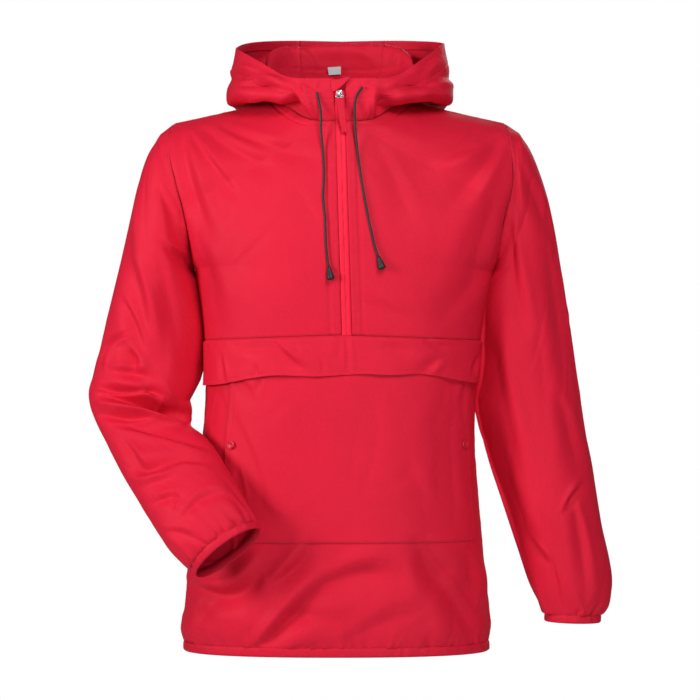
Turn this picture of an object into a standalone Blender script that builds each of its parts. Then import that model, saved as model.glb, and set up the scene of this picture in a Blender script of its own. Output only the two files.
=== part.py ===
"""Anorak pullover in its worn form: hood, half zip, pouch pocket under a flap, and drawcords.

Run it with: blender --background --python part.py
Units are metres, +Z is up and the front faces -Y. The origin lies in the neck opening, level with
the highest points of the shoulders. Left and right are the viewer's. The cloth pieces are thin
closed walls, laid out by rows that run from a centre line round to a side line.
"""

import math
from collections import namedtuple

import bmesh
import bpy
import numpy as np

# ---------------------------------------------------------------- driving dimensions
CLOTH = 0.0017            # wall of every cloth piece
SEAM_GAP = 0.0003         # space between pieces that are sewn together
LAYER_GAP = 0.0004        # space between a panel and what lies on it
HEM_Z = -0.7300           # lowest edge of the garment
BINDING_TALL = 0.0100     # height of the elasticated hem binding
YOKE_CENTRE_Z = -0.3135   # seam under the zip, at the centre
YOKE_SIDE_Z = -0.3200     # the same seam at the side seams
ARMPIT_Z = -0.2270
TAPE_HALF = 0.0065        # half the width that shows of the closed zip
ZIP_TOP_Z = 0.0030         # top of the zip's tapes, inside the collar
SLIDER_SIZE = (0.0090, 0.0022, 0.0100)
SLIDER_Z = -0.0010        # middle of the slider's body
PIN_OUT = 0.0016          # from the slider's face to the middle of the bail's upper bar
BAIL_WIRE = 0.00065       # radius of the bail's wire
BAIL_HALF = 0.0031
BAIL_FOOT = 0.0050        # half the width of its lower bar, which carries the pull
BAIL_DROP = 0.0052
PULLER_SIZE = (0.0100, 0.0016, 0.0440)
PULLER_LEAN = 0.0065      # how far the puller's lower end lies to the right of its upper end
SNAP_RADIUS = 0.0055
SNAP_TALL = 0.0020
SNAP_Z = -0.4560
CORD_END_LONG = 0.0170
CORD_END_RADII = (0.0025, 0.0053)
CORD_RADIUS = 0.0015
HOOD_PANEL_NECK = 146.0   # angle round the neck where the hood's centre panel starts
HOOD_PANEL_RIM = 163.0    # the same at the hood's rim
POCKET_LEFT_TURN = -0.550  # how far round the lower front the pouch's sides lie
POCKET_RIGHT_TURN = 0.740
SLEEVE_BOW_LEFT = 0.012   # how far the sleeve's front and back stand out beside the armhole
SLEEVE_BOW_RIGHT = 0.018
CUFF_TILT_LEFT = 0.42      # how far the left cuff's opening turns to the front, as a slope
TILT_FROM = 0.55           # share of the sleeve's length where it starts to turn
TILT_POWER = 1.5           # how slowly the turn starts
RIDGE_SHARE = 0.45        # height of the ridges beside a fold, as a share of its depth
RIDGE_AT = 1.9            # their distance from the trough, in fold widths
FOLD_ENDS = (0.12, 0.76)  # where along a fold its depth starts to fade, as shares of a half turn
HEM_GATHER = 0.0035       # height of the waves above the hem's elastic
HEM_GATHER_TALL = 0.035
CUFF_GATHER = 0.0032      # the same at the cuffs, and how many waves go round
CUFF_WAVES = 8
CUFF_RINGS = ((SEAM_GAP, 0.97), (0.002, 0.985), (0.008, 0.97), (BINDING_TALL, 0.94))
CUFF_INNER = 0.95         # the binding's inner face as a share of its outer one
FLAP_STAND = (0.0058, 0.0044, 0.0030, 0.0005)  # how far each row of the flap stands off
FLAP_WAVES = (0.0014, 0.0008, 0.0002, 0.0)
LABEL_AT = (0.015, 0.050)          # lower and upper edge of the label up the hood's back
LABEL_ANGLES = (170.0, 179.6)
LABEL_THICK = 0.0008
# Corners of the zip guard, seen from the front, and how it leans back.
GUARD_OUTLINE = [(-0.0136, 0.0172), (0.0111, 0.0228), (0.0108, 0.0180), (0.0010, 0.0092),
                 (-0.0084, 0.0032), (-0.0120, 0.0044)]
GUARD_FOOT = (4, -0.1078)  # the corner it stands on, and that corner's y
GUARD_LEAN = 0.12
BRIDGE_SIZE = (0.0028, 0.0068)     # width and height of the slider's bridge
BRIDGE_COVER = 0.0012     # metal of the bridge in front of the bail's bar
SLOT_SIZE = (0.0060, 0.0040)       # width and height of the slot that the bail's bar swings in
SLOT_ROOM = 0.0005

MATERIALS = {
    "cloth": ((0.72, 0.022, 0.045), 0.50, 0.0),
    "binding": ((0.60, 0.016, 0.035), 0.55, 0.0),
    "tape": ((0.85, 0.040, 0.075), 0.45, 0.0),
    "cord": ((0.012, 0.012, 0.014), 0.80, 0.0),
    "cord_end": ((0.010, 0.010, 0.011), 0.35, 0.0),
    "metal": ((0.70, 0.70, 0.72), 0.25, 1.0),
    "snap_paint": ((0.58, 0.012, 0.030), 0.35, 0.0),
    "label": ((0.62, 0.64, 0.66), 0.70, 0.0),
}

# ---------------------------------------------------------------- tables of the cut
# One row per level of the body: side seams' x, depth of front and back, and squareness.
Level = namedtuple("Level", "z left right front back square")
BODY = [
    Level(-0.7200, -0.2060, 0.1940, -0.1180, 0.1130, 2.4),
    Level(-0.7020, -0.2120, 0.1980, -0.1240, 0.1200, 2.4),
    Level(-0.6700, -0.2075, 0.1965, -0.1260, 0.1220, 2.4),
    Level(-0.6220, -0.2035, 0.1905, -0.1260, 0.1200, 2.4),
    Level(-0.5790, -0.1985, 0.1870, -0.1250, 0.1170, 2.4),
    Level(-0.5200, -0.1910, 0.1820, -0.1240, 0.1140, 2.4),
    Level(-0.4500, -0.1840, 0.1775, -0.1240, 0.1130, 2.4),
    Level(-0.3900, -0.1800, 0.1790, -0.1250, 0.1140, 2.4),
    Level(-0.3200, -0.1810, 0.1855, -0.1280, 0.1170, 2.4),
    Level(-0.2270, -0.1940, 0.1970, -0.1310, 0.1210, 2.3),
]

# One row per point of the armhole, from the armpit up to the tip of the shoulder.
Armhole = namedtuple("Armhole", "at z left right front back")
ARMHOLE = [
    Armhole(0.00, -0.2270, -0.1940, 0.1970, 0.000, 0.000),
    Armhole(0.12, -0.2140, -0.1960, 0.2010, -0.024, 0.022),
    Armhole(0.30, -0.1850, -0.2000, 0.2085, -0.043, 0.041),
    Armhole(0.48, -0.1480, -0.2075, 0.2180, -0.054, 0.053),
    Armhole(0.66, -0.1120, -0.2175, 0.2260, -0.057, 0.057),
    Armhole(0.82, -0.0745, -0.2260, 0.2245, -0.048, 0.050),
    Armhole(0.92, -0.0485, -0.2265, 0.2210, -0.030, 0.033),
    Armhole(1.00, -0.0305, -0.2220, 0.2180, 0.000, 0.000),
]

# Front edge of the chest: up beside the zip, then round the neckline to the shoulder seam.
# "beside" is 1 where x counts from the zip's middle line, else 0.
Edge = namedtuple("Edge", "at beside x y z")
FRONT_EDGE = [
    Edge(0.00, 1, 0.0000, -0.1280, YOKE_CENTRE_Z),
    Edge(0.15, 1, 0.0000, -0.1310, -0.2600),
    Edge(0.28, 1, 0.0000, -0.1310, -0.2150),
    Edge(0.40, 1, 0.0000, -0.1275, -0.1550),
    Edge(0.50, 1, 0.0000, -0.1190, -0.1000),
    Edge(0.62, 1, 0.0000, -0.1000, -0.0360),
    Edge(0.70, 0, 0.0300, -0.0965, -0.0345),
    Edge(0.78, 0, 0.0480, -0.0860, -0.0290),
    Edge(0.86, 0, 0.0640, -0.0620, -0.0170),
    Edge(0.93, 0, 0.0750, -0.0290, -0.0060),
    Edge(1.00, 0, 0.0800, 0.0000, 0.0000),
]
# Centre of the back above the armpits, then round the back neckline to the shoulder seam.
BACK_EDGE = [
    Edge(0.00, 0, 0.0000, 0.1210, -0.2270),
    Edge(0.20, 0, 0.0000, 0.1190, -0.1500),
    Edge(0.38, 0, 0.0000, 0.1080, -0.0700),
    Edge(0.54, 0, 0.0000, 0.0910, -0.0050),
    Edge(0.66, 0, 0.0000, 0.0750, 0.0360),
    Edge(0.76, 0, 0.0300, 0.0700, 0.0330),
    Edge(0.84, 0, 0.0540, 0.0550, 0.0240),
    Edge(0.92, 0, 0.0720, 0.0300, 0.0120),
    Edge(1.00, 0, 0.0800, 0.0000, 0.0000),
]
THROAT_AT = 0.62          # where the chest's front edge turns from the zip into the neckline
BODY_AT = 0.28            # where the chest's side edge turns from the side seam into the armhole
CHEST_ROWS = (list(np.linspace(0, BODY_AT, 6)) + list(np.linspace(BODY_AT, THROAT_AT, 8)[1:])
              + [edge.at for edge in FRONT_EDGE if edge.at > THROAT_AT])
NAPE_AT = 0.66            # where the back's centre line meets the neckline
BACK_ROWS = (list(np.linspace(0, NAPE_AT, 7)) + [edge.at for edge in BACK_EDGE if edge.at > NAPE_AT])
HALF_TURNS = list(np.linspace(0, 1, 15))
# Rows of the lower front: height at the centre, and how much lower the row is at the side seams.
FrontRow = namedtuple("FrontRow", "z drop")
POCKET_ROW, FLAP_ROW, POCKET_TOP_ROW = 6, 13, 15
FRONT_ROWS = [FrontRow(*row) for row in (
    (-0.7197, 0.0000), (-0.7120, 0.0000), (-0.6990, 0.0000), (-0.6800, 0.0000), (-0.6500, 0.0000),
    (-0.6150, 0.0000), (-0.5820, 0.0000), (-0.5500, 0.0000), (-0.5180, 0.0000), (-0.4860, 0.0000),
    (-0.4540, 0.0000), (-0.4220, 0.0030), (-0.3920, 0.0070), (-0.3650, 0.0110), (-0.3500, 0.0095),
    (-0.3340, 0.0080), (YOKE_CENTRE_Z - SEAM_GAP / 2, YOKE_CENTRE_Z - YOKE_SIDE_Z))]
FRONT_TURNS = (list(np.linspace(-1, POCKET_LEFT_TURN, 8)[:-1])
               + list(np.linspace(POCKET_LEFT_TURN, POCKET_RIGHT_TURN, 18))
               + list(np.linspace(POCKET_RIGHT_TURN, 1, 6)[1:]))
SQUARE_CHEST = [(0.00, 2.4), (0.28, 2.3), (0.45, 2.0), (0.62, 1.7), (0.85, 1.35), (1.00, 1.05)]
SQUARE_BACK = [(0.00, 2.3), (0.30, 2.0), (0.66, 1.6), (0.85, 1.3), (1.00, 1.05)]

# One row per ring of a sleeve: outer and inner point, middle depth, front and back bulge, and the
# squareness of the side that faces the body.
Ring = namedtuple("Ring", "outer_x outer_z inner_x inner_z middle front back square")
SLEEVE_LEFT = [
    Ring(-0.2400, -0.0455, -0.1964, -0.2330, 0.000, 0.060, 0.060, 2.0),
    Ring(-0.2570, -0.0760, -0.1960, -0.2400, 0.000, 0.064, 0.062, 2.1),
    Ring(-0.2690, -0.1220, -0.1945, -0.2510, 0.000, 0.066, 0.063, 2.2),
    Ring(-0.2810, -0.1780, -0.1925, -0.2680, 0.000, 0.066, 0.063, 2.4),
    Ring(-0.2930, -0.2360, -0.1900, -0.2920, 0.000, 0.065, 0.062, 2.5),
    Ring(-0.3050, -0.2900, -0.1890, -0.3220, 0.000, 0.064, 0.060, 2.5),
    Ring(-0.3150, -0.3300, -0.1885, -0.3520, -0.002, 0.062, 0.058, 2.5),
    Ring(-0.3260, -0.3620, -0.1880, -0.3800, -0.006, 0.061, 0.056, 2.4),
    Ring(-0.3335, -0.3860, -0.1890, -0.4050, -0.014, 0.060, 0.054, 2.3),
    Ring(-0.3310, -0.4080, -0.1935, -0.4210, -0.024, 0.056, 0.054, 2.2),
    Ring(-0.3190, -0.4340, -0.1950, -0.4330, -0.040, 0.052, 0.052, 2.0),
    Ring(-0.3025, -0.4618, -0.1790, -0.4440, -0.068, 0.048, 0.046, 2.0),
    Ring(-0.2830, -0.4952, -0.1620, -0.4620, -0.094, 0.045, 0.042, 2.0),
    Ring(-0.2590, -0.5310, -0.1470, -0.4850, -0.119, 0.043, 0.040, 2.0),
    Ring(-0.2395, -0.5602, -0.1330, -0.5060, -0.138, 0.042, 0.039, 2.0),
    Ring(-0.2205, -0.5873, -0.1200, -0.5270, -0.151, 0.041, 0.038, 2.0),
    Ring(-0.2010, -0.6075, -0.1105, -0.5430, -0.157, 0.040, 0.037, 2.0),
    Ring(-0.1905, -0.6155, -0.1075, -0.5525, -0.160, 0.036, 0.033, 2.0),
]
SLEEVE_RIGHT = [
    Ring(0.2370, -0.0440, 0.1994, -0.2330, 0.000, 0.060, 0.060, 2.0),
    Ring(0.2520, -0.0700, 0.1996, -0.2400, 0.000, 0.064, 0.062, 2.1),
    Ring(0.2660, -0.1130, 0.1990, -0.2520, 0.000, 0.066, 0.063, 2.3),
    Ring(0.2780, -0.1680, 0.1975, -0.2700, 0.000, 0.067, 0.063, 2.5),
    Ring(0.2870, -0.2260, 0.1950, -0.2960, 0.000, 0.067, 0.062, 2.7),
    Ring(0.2970, -0.2860, 0.1925, -0.3300, 0.000, 0.067, 0.061, 2.8),
    Ring(0.3070, -0.3420, 0.1895, -0.3700, 0.000, 0.066, 0.060, 2.8),
    Ring(0.3160, -0.3920, 0.1865, -0.4080, -0.002, 0.065, 0.058, 2.6),
    Ring(0.3240, -0.4380, 0.1880, -0.4420, -0.004, 0.064, 0.057, 2.3),
    Ring(0.3330, -0.4820, 0.1990, -0.4820, -0.006, 0.062, 0.055, 2.1),
    Ring(0.3390, -0.5220, 0.2130, -0.5240, -0.009, 0.060, 0.054, 2.0),
    Ring(0.3460, -0.5660, 0.2270, -0.5660, -0.012, 0.057, 0.052, 2.0),
    Ring(0.3550, -0.6080, 0.2410, -0.6080, -0.015, 0.054, 0.050, 2.0),
    Ring(0.3580, -0.6400, 0.2520, -0.6420, -0.017, 0.050, 0.047, 2.0),
    Ring(0.3545, -0.6680, 0.2620, -0.6660, -0.018, 0.042, 0.040, 2.0),
    Ring(0.3450, -0.6830, 0.2690, -0.6810, -0.018, 0.036, 0.034, 2.0),
]

# One row per section of the hood's right half, by its angle round the neck from the throat. The
# cloth leaves the neck seam, folds over at the crest, hangs into a bag and comes up to the rim.
Section = namedtuple("Section", "angle neck crest low_in low_out rim")
HOOD = [
    Section(0, (0.0000, -0.1000, -0.0360), (0.0000, -0.1040, -0.0220), (0.0000, -0.1060, -0.0100),
            (0.0000, -0.1062, 0.0040), (0.0000, -0.1040, 0.0190)),
    Section(18, (0.0300, -0.0965, -0.0345), (0.0320, -0.1030, -0.0220), (0.0340, -0.1070, -0.0100),
            (0.0345, -0.1080, 0.0050), (0.0340, -0.1060, 0.0190)),
    Section(36, (0.0480, -0.0860, -0.0290), (0.0530, -0.0960, -0.0200), (0.0600, -0.1020, -0.0080),
            (0.0620, -0.1030, 0.0070), (0.0560, -0.1000, 0.0200)),
    Section(56, (0.0640, -0.0620, -0.0170), (0.0750, -0.0760, -0.0120), (0.0900, -0.0860, -0.0030),
            (0.0950, -0.0870, 0.0140), (0.0780, -0.0860, 0.0270)),
    Section(76, (0.0750, -0.0290, -0.0060), (0.0920, -0.0400, -0.0010), (0.1190, -0.0520, -0.0060),
            (0.1320, -0.0540, 0.0060), (0.1060, -0.0620, 0.0480)),
    Section(97, (0.0800, 0.0000, 0.0000), (0.0990, 0.0010, 0.0220), (0.1270, -0.0040, -0.0060),
            (0.1465, -0.0080, -0.0035), (0.1330, -0.0150, 0.0730)),
    Section(120, (0.0720, 0.0300, 0.0120), (0.0960, 0.0440, 0.0560), (0.1210, 0.0640, -0.0050),
            (0.1435, 0.0640, -0.0020), (0.1360, 0.0560, 0.0830)),
    Section(140, (0.0540, 0.0550, 0.0240), (0.0790, 0.0760, 0.0710), (0.1000, 0.1170, -0.0240),
            (0.1260, 0.1350, -0.0200), (0.1120, 0.1180, 0.0900)),
    Section(161, (0.0300, 0.0700, 0.0330), (0.0430, 0.0890, 0.0760), (0.0620, 0.1400, -0.0750),
            (0.0740, 0.1740, -0.0700), (0.0640, 0.1530, 0.0940)),
    Section(180, (0.0000, 0.0750, 0.0360), (0.0000, 0.0930, 0.0770), (0.0000, 0.1440, -0.1000),
            (0.0000, 0.1820, -0.0940), (0.0000, 0.1650, 0.0940)),
]

# Routes of the drawcords, from the collar's eyelets down to the moulded ends.
CORD_LEFT = [
    (-0.0307, -0.1097, 0.0011), (-0.0285, -0.1102, -0.0090), (-0.0262, -0.1104, -0.0209),
    (-0.0252, -0.1104, -0.0330), (-0.0255, -0.1104, -0.0442), (-0.0246, -0.1106, -0.0580),
    (-0.0230, -0.1120, -0.0736), (-0.0220, -0.1158, -0.0890), (-0.0215, -0.1195, -0.1036),
    (-0.0219, -0.1227, -0.1180), (-0.0227, -0.1252, -0.1332), (-0.0218, -0.1274, -0.1470),
    (-0.0202, -0.1290, -0.1602), (-0.0195, -0.1307, -0.1780), (-0.0189, -0.1318, -0.1949),
    (-0.0174, -0.1326, -0.2110), (-0.0152, -0.1340, -0.2250),
]
CORD_RIGHT = [
    (0.0282, -0.1100, 0.0076), (0.0226, -0.1104, 0.0000), (0.0192, -0.1105, -0.0093),
    (0.0182, -0.1105, -0.0220), (0.0185, -0.1105, -0.0351), (0.0195, -0.1106, -0.0520),
    (0.0210, -0.1116, -0.0683), (0.0228, -0.1148, -0.0840), (0.0248, -0.1187, -0.0995),
    (0.0270, -0.1219, -0.1150), (0.0296, -0.1245, -0.1300), (0.0325, -0.1268, -0.1455),
    (0.0352, -0.1285, -0.1602), (0.0391, -0.1300, -0.1780), (0.0429, -0.1310, -0.1949),
    (0.0484, -0.1326, -0.2120),
]

# Largest folds: a trough runs between two points seen from the front or the back.
Fold = namedtuple("Fold", "x0 z0 x1 z1 width depth")
FRONT_FOLDS = [
    Fold(-0.198, -0.045, -0.140, -0.128, 0.012, 0.0050),
    Fold(-0.155, -0.036, -0.062, -0.082, 0.012, 0.0045),
    Fold(-0.205, -0.062, -0.166, -0.230, 0.013, 0.0050),
    Fold(0.190, -0.050, 0.120, -0.150, 0.014, 0.0040),
    Fold(0.150, -0.215, 0.060, -0.260, 0.016, 0.0030),
    Fold(-0.150, -0.235, -0.060, -0.290, 0.016, 0.0030),
    Fold(-0.185, -0.665, -0.045, -0.600, 0.015, 0.0055),
    Fold(-0.135, -0.712, 0.020, -0.640, 0.014, 0.0050),
    Fold(0.100, -0.600, 0.165, -0.705, 0.015, 0.0055),
    Fold(0.175, -0.620, 0.120, -0.560, 0.013, 0.0040),
]
BACK_FOLDS = [
    Fold(-0.190, -0.150, -0.080, -0.260, 0.018, 0.0050),
    Fold(0.190, -0.145, 0.085, -0.250, 0.018, 0.0050),
    Fold(-0.170, -0.420, 0.010, -0.470, 0.020, 0.0050),
    Fold(0.170, -0.520, -0.040, -0.560, 0.020, 0.0050),
    Fold(-0.160, -0.640, -0.040, -0.590, 0.016, 0.0045),
    Fold(0.060, -0.620, 0.165, -0.680, 0.016, 0.0045),
]
# Folds of a sleeve: ring number from the shoulder, angle round it (0 outer, 90 front, 180 inner).
SleeveFold = namedtuple("SleeveFold", "ring0 angle0 ring1 angle1 width depth")
LEFT_SLEEVE_FOLDS = [
    SleeveFold(8.7, 30, 9.9, 175, 0.55, 0.0100),
    SleeveFold(7.2, 120, 8.4, 180, 0.50, 0.0060),
    SleeveFold(5.6, 20, 7.4, 75, 0.60, 0.0050),
    SleeveFold(6.4, 60, 6.2, 150, 0.60, 0.0045),
    SleeveFold(8.4, 200, 9.8, 330, 0.60, 0.0060),
    SleeveFold(1.0, 60, 3.5, 40, 0.90, 0.0040),
    SleeveFold(12.0, 30, 14.5, 70, 0.90, 0.0035),
]
RIGHT_SLEEVE_FOLDS = [
    SleeveFold(1.0, 60, 4.0, 50, 0.90, 0.0040),
    SleeveFold(4.5, 120, 9.5, 100, 1.30, 0.0045),
    SleeveFold(6.0, 40, 11.0, 60, 1.30, 0.0040),
    SleeveFold(9.0, 140, 13.0, 120, 1.10, 0.0040),
    SleeveFold(5.0, 250, 9.0, 280, 1.20, 0.0045),
    SleeveFold(10.0, 20, 14.0, 35, 0.90, 0.0035),
]


# ---------------------------------------------------------------- curves and walls
def spline(knots, values, at):
    """Smooth curve through the values, one for each knot, read at one place."""
    knots = np.asarray(knots, float)
    values = np.asarray(values, float)
    slopes = np.gradient(values, knots, axis=0)
    low = int(np.clip(np.searchsorted(knots, at) - 1, 0, len(knots) - 2))
    span = knots[low + 1] - knots[low]
    t = (at - knots[low]) / span
    return ((1 + 2 * t) * (1 - t) ** 2 * values[low] + t * (1 - t) ** 2 * span * slopes[low]
            + t * t * (3 - 2 * t) * values[low + 1] + t * t * (t - 1) * span * slopes[low + 1])


def unit(vector):
    """The vector at length one."""
    return vector / np.linalg.norm(vector)


def inward(point):
    """Direction in which the body's cloth gets its thickness, the same on both sides of a seam."""
    return unit(np.array([-0.3 * point[0], -point[1], min(point[2], -0.08) - point[2]]))


def thickened(grid, direction=inward, wall=CLOTH):
    """The grid and the same grid moved in by the wall."""
    inner = np.array([[point + wall * direction(point) for point in row] for row in grid])
    return grid, inner


def offset_by_normals(grid, distance, closed=False):
    """The grid moved along its own normals, which point out of the garment where distance > 0."""
    if closed:
        across = np.roll(grid, -1, axis=1) - np.roll(grid, 1, axis=1)
    else:
        across = np.gradient(grid, axis=1)
    along = np.gradient(grid, axis=0)
    normals = np.cross(across, along)
    normals /= np.maximum(np.linalg.norm(normals, axis=2, keepdims=True), 1e-9)
    return grid + distance * normals


def add_material(name):
    """The named Principled material, made once."""
    if name in bpy.data.materials:
        return bpy.data.materials[name]
    colour, roughness, metallic = MATERIALS[name]
    material = bpy.data.materials.new(name)
    material.use_nodes = True
    shader = material.node_tree.nodes["Principled BSDF"]
    shader.inputs["Base Color"].default_value = (*colour, 1.0)
    shader.inputs["Roughness"].default_value = roughness
    shader.inputs["Metallic"].default_value = metallic
    material.diffuse_color = (*colour, 1.0)
    return material


def add_solid(name, points, faces, material, origin=(0.0, 0.0, 0.0)):
    """One closed mesh object, its faces turned outward, with its origin where it is asked for."""
    origin = np.asarray(origin, float)
    mesh = bpy.data.meshes.new(name)
    mesh.from_pydata([tuple(np.asarray(point) - origin) for point in points], [], faces)
    bm = bmesh.new()
    bm.from_mesh(mesh)
    bmesh.ops.triangulate(bm, faces=bm.faces[:])
    bmesh.ops.recalc_face_normals(bm, faces=bm.faces[:])
    bm.to_mesh(mesh)
    bm.free()
    result = bpy.data.objects.new(name, mesh)
    result.location = tuple(origin)
    mesh.materials.append(add_material(material))
    bpy.context.scene.collection.objects.link(result)
    return result


def add_wall(name, patches, material="cloth", ring=False):
    """A closed wall from patches of an outer and an inner grid, welded where their edges meet."""
    outer, inner, number, quads = [], [], {}, []
    for outer_grid, inner_grid in patches:
        rows, columns = outer_grid.shape[:2]
        ids = np.zeros((rows, columns), int)
        for i in range(rows):
            for j in range(columns):
                key = tuple(np.round(outer_grid[i, j] * 1e6).astype(int))
                if key not in number:
                    number[key] = len(outer)
                    outer.append(outer_grid[i, j])
                    inner.append(inner_grid[i, j])
                ids[i, j] = number[key]
        for i in range(rows - 1):
            for j in range(columns if ring else columns - 1):
                k = (j + 1) % columns
                quads.append((ids[i, j], ids[i, k], ids[i + 1, k], ids[i + 1, j]))
    count = len(outer)
    faces, edges = [], set()
    for quad in quads:
        corners = [corner for at, corner in enumerate(quad) if corner != quad[at - 1]]
        faces.append(corners)
        faces.append([corner + count for corner in reversed(corners)])
        edges.update(zip(corners, corners[1:] + corners[:1]))
    for start, end in edges:
        if (end, start) not in edges:
            faces.append((end, start, start + count, end + count))
    return add_solid(name, outer + inner, faces, material)


# ---------------------------------------------------------------- body panels
def zip_middle(z):
    """x of the zip's middle line, which leans a little as the garment is worn."""
    return float(np.interp(z, [YOKE_CENTRE_Z, 0.02], [0.0080, -0.0020]))


def body_level(z):
    """The body's level at a height below the armpits."""
    return Level(z, *spline([level.z for level in BODY], [level[1:] for level in BODY], z))


def row_point(centre, side, square, turn):
    """Point of a row that bends from the centre line (turn 0) round to the side line (turn 1)."""
    angle = turn * math.pi / 2
    across = math.sin(angle) ** (2 / square)
    back = 1 - max(math.cos(angle), 0.0) ** (2 / square)
    share = np.array([across, back, across])
    return np.asarray(centre) + (np.asarray(side) - np.asarray(centre)) * share


def body_point(z, z_drop, turn, front):
    """Point of the body below the armpits; turn runs from -1 (left seam) to 1 (right seam)."""
    level = body_level(z)
    depth = level.front if front else level.back
    side_x = level.right if turn > 0 else level.left
    middle = (level.left + level.right) / 2
    centre = (middle, depth, z)
    return row_point(centre, (side_x, 0.0, z - z_drop), level.square, abs(turn))


def armhole_point(at, right, front):
    """Point of the armhole's edge, from the armpit (0) to the tip of the shoulder (1)."""
    row = spline([a.at for a in ARMHOLE], [a[1:] for a in ARMHOLE], at)
    z, left_x, right_x, front_y, back_y = row
    return np.array([right_x if right else left_x, front_y if front else back_y, z])


def edge_point(table, at, right, aside):
    """Point of a chest or back edge; aside keeps it clear of the zip's middle line."""
    first, second = [e for e in table if e.beside], [e for e in table if not e.beside]
    part = first if first and at <= first[-1].at else second
    if part is second and first:
        part = first[-1:] + second
    x, y, z = spline([e.at for e in part], [e[2:] for e in part], at)
    sign = 1 if right else -1
    if part is first:
        return np.array([zip_middle(z) + sign * aside, y, z])
    lean = zip_middle(z) if first else 0.0
    fade = max(0.0, 1 - x / 0.03)
    return np.array([sign * max(x, aside) + lean * fade, y, z])


def fold_profile(along, away):
    """Depth of a fold along its length and across its width: a trough between two low ridges."""
    ends = math.sin(math.pi * (FOLD_ENDS[0] + FOLD_ENDS[1] * along))
    return ends * (math.exp(-away ** 2) - RIDGE_SHARE * math.exp(-(away - RIDGE_AT) ** 2))


def fold_depth(folds, point):
    """How far the folds push the cloth in at a point."""
    total = 0.0
    for fold in folds:
        start = np.array([fold.x0, fold.z0])
        run = np.array([fold.x1, fold.z1]) - start
        offset = np.array([point[0], point[2]]) - start
        along = np.clip(offset @ run / (run @ run), 0, 1)
        away = np.linalg.norm(offset - along * run) / fold.width
        total += fold.depth * fold_profile(along, away)
    return total


def hem_gather(point, turn):
    """Uneven waves that the hem's elastic draws up, fading a hand's breadth above it."""
    height = point[2] - (HEM_Z + BINDING_TALL)
    fade = math.exp(-height / HEM_GATHER_TALL) * (1 - math.exp(-height / HEM_GATHER_TALL * 6))
    return HEM_GATHER * fade * (math.sin(26 * turn) + 0.5 * math.sin(43 * turn + 1.3))


def folded(grid, folds, keep_rows=0):
    """The grid pressed in by the folds; its outline stays where it is."""
    rows, columns = grid.shape[:2]
    result = grid.copy()
    for i in range(rows):
        for j in range(columns):
            point = grid[i, j]
            edge = min(i, rows - 1 - i, 2) / 2 if keep_rows == 0 else min(rows - 1 - i, 2) / 2
            sides = min(j, columns - 1 - j, 2) / 2
            result[i, j] = point + inward(point) * fold_depth(folds, point) * min(edge, sides)
    return result


def chest_grid(right, aside=TAPE_HALF + SEAM_GAP):
    """Half of the upper front: rows from the zip or neckline to the side seam or armhole."""
    grid = np.zeros((len(CHEST_ROWS), len(HALF_TURNS), 3))
    for i, at in enumerate(CHEST_ROWS):
        centre = edge_point(FRONT_EDGE, at, right, aside)
        if at < BODY_AT:
            z = YOKE_SIDE_Z + (ARMPIT_Z - YOKE_SIDE_Z) * at / BODY_AT
            level = body_level(z)
            side = np.array([level.right if right else level.left, 0.0, z])
        else:
            side = armhole_point((at - BODY_AT) / (1 - BODY_AT), right, True)
        side[1] = min(side[1], -SEAM_GAP / 2)
        square = spline([s[0] for s in SQUARE_CHEST], [s[1] for s in SQUARE_CHEST], at)
        for j, turn in enumerate(HALF_TURNS):
            grid[i, j] = row_point(centre, side, square, turn)
    grid[0, :, 2] += SEAM_GAP / 2
    grid[-1, :, 1] = np.minimum(grid[-1, :, 1], -SEAM_GAP / 2)
    return grid if right else grid[:, ::-1]


def add_chest():
    for right, name in ((False, "chest_left"), (True, "chest_right")):
        grid = folded(chest_grid(right), FRONT_FOLDS)
        add_wall(name, [thickened(grid)])


def front_lower_grid():
    """The lower front from side seam to side seam, hem at row 0."""
    grid = np.zeros((len(FRONT_ROWS), len(FRONT_TURNS), 3))
    for i, row in enumerate(FRONT_ROWS):
        for j, turn in enumerate(FRONT_TURNS):
            point = body_point(row.z, row.drop, turn, True)
            point[1] = min(point[1], -SEAM_GAP / 2)
            grid[i, j] = point - inward(point) * hem_gather(point, turn)
    return folded(grid, FRONT_FOLDS, 1)


def add_front_lower():
    add_wall("front_lower", [thickened(front_lower_grid())])


def back_halves():
    """Both halves of the back, from the hem up to the shoulder seam, meeting on the centre line."""
    halves = []
    for right in (False, True):
        rows = []
        bottom = HEM_Z + BINDING_TALL + SEAM_GAP
        for share in np.linspace(0, 1, 10)[:-1] ** 1.15:
            z = bottom + (ARMPIT_Z - bottom) * share
            rows.append([body_point(z, 0.0, turn if right else -turn, False) for turn in HALF_TURNS])
        for at in BACK_ROWS:
            centre = edge_point(BACK_EDGE, at, right, 0.0)
            centre[0] += (BODY[-1].left + BODY[-1].right) / 2 * max(0.0, 1 - at / NAPE_AT)
            side = armhole_point(at, right, False)
            square = spline([s[0] for s in SQUARE_BACK], [s[1] for s in SQUARE_BACK], at)
            rows.append([row_point(centre, side, square, turn) for turn in HALF_TURNS])
        grid = np.array(rows)
        for i, row in enumerate(grid):
            for j, turn in enumerate(HALF_TURNS):
                gather = hem_gather(row[j], (turn if right else -turn) * 1.02 + 0.3)
                push = fold_depth(BACK_FOLDS, row[j]) * min(len(grid) - 1 - i, len(row) - 1 - j, 2) / 2
                grid[i, j] = row[j] + inward(row[j]) * (push - gather)
        grid[:, -1, 1] = np.maximum(grid[:, -1, 1], SEAM_GAP / 2)
        grid[-1, :, 1] = np.maximum(grid[-1, :, 1], SEAM_GAP / 2)
        halves.append(grid if right else grid[:, ::-1])
    return halves


def add_back():
    add_wall("back", [thickened(grid) for grid in back_halves()])


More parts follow.
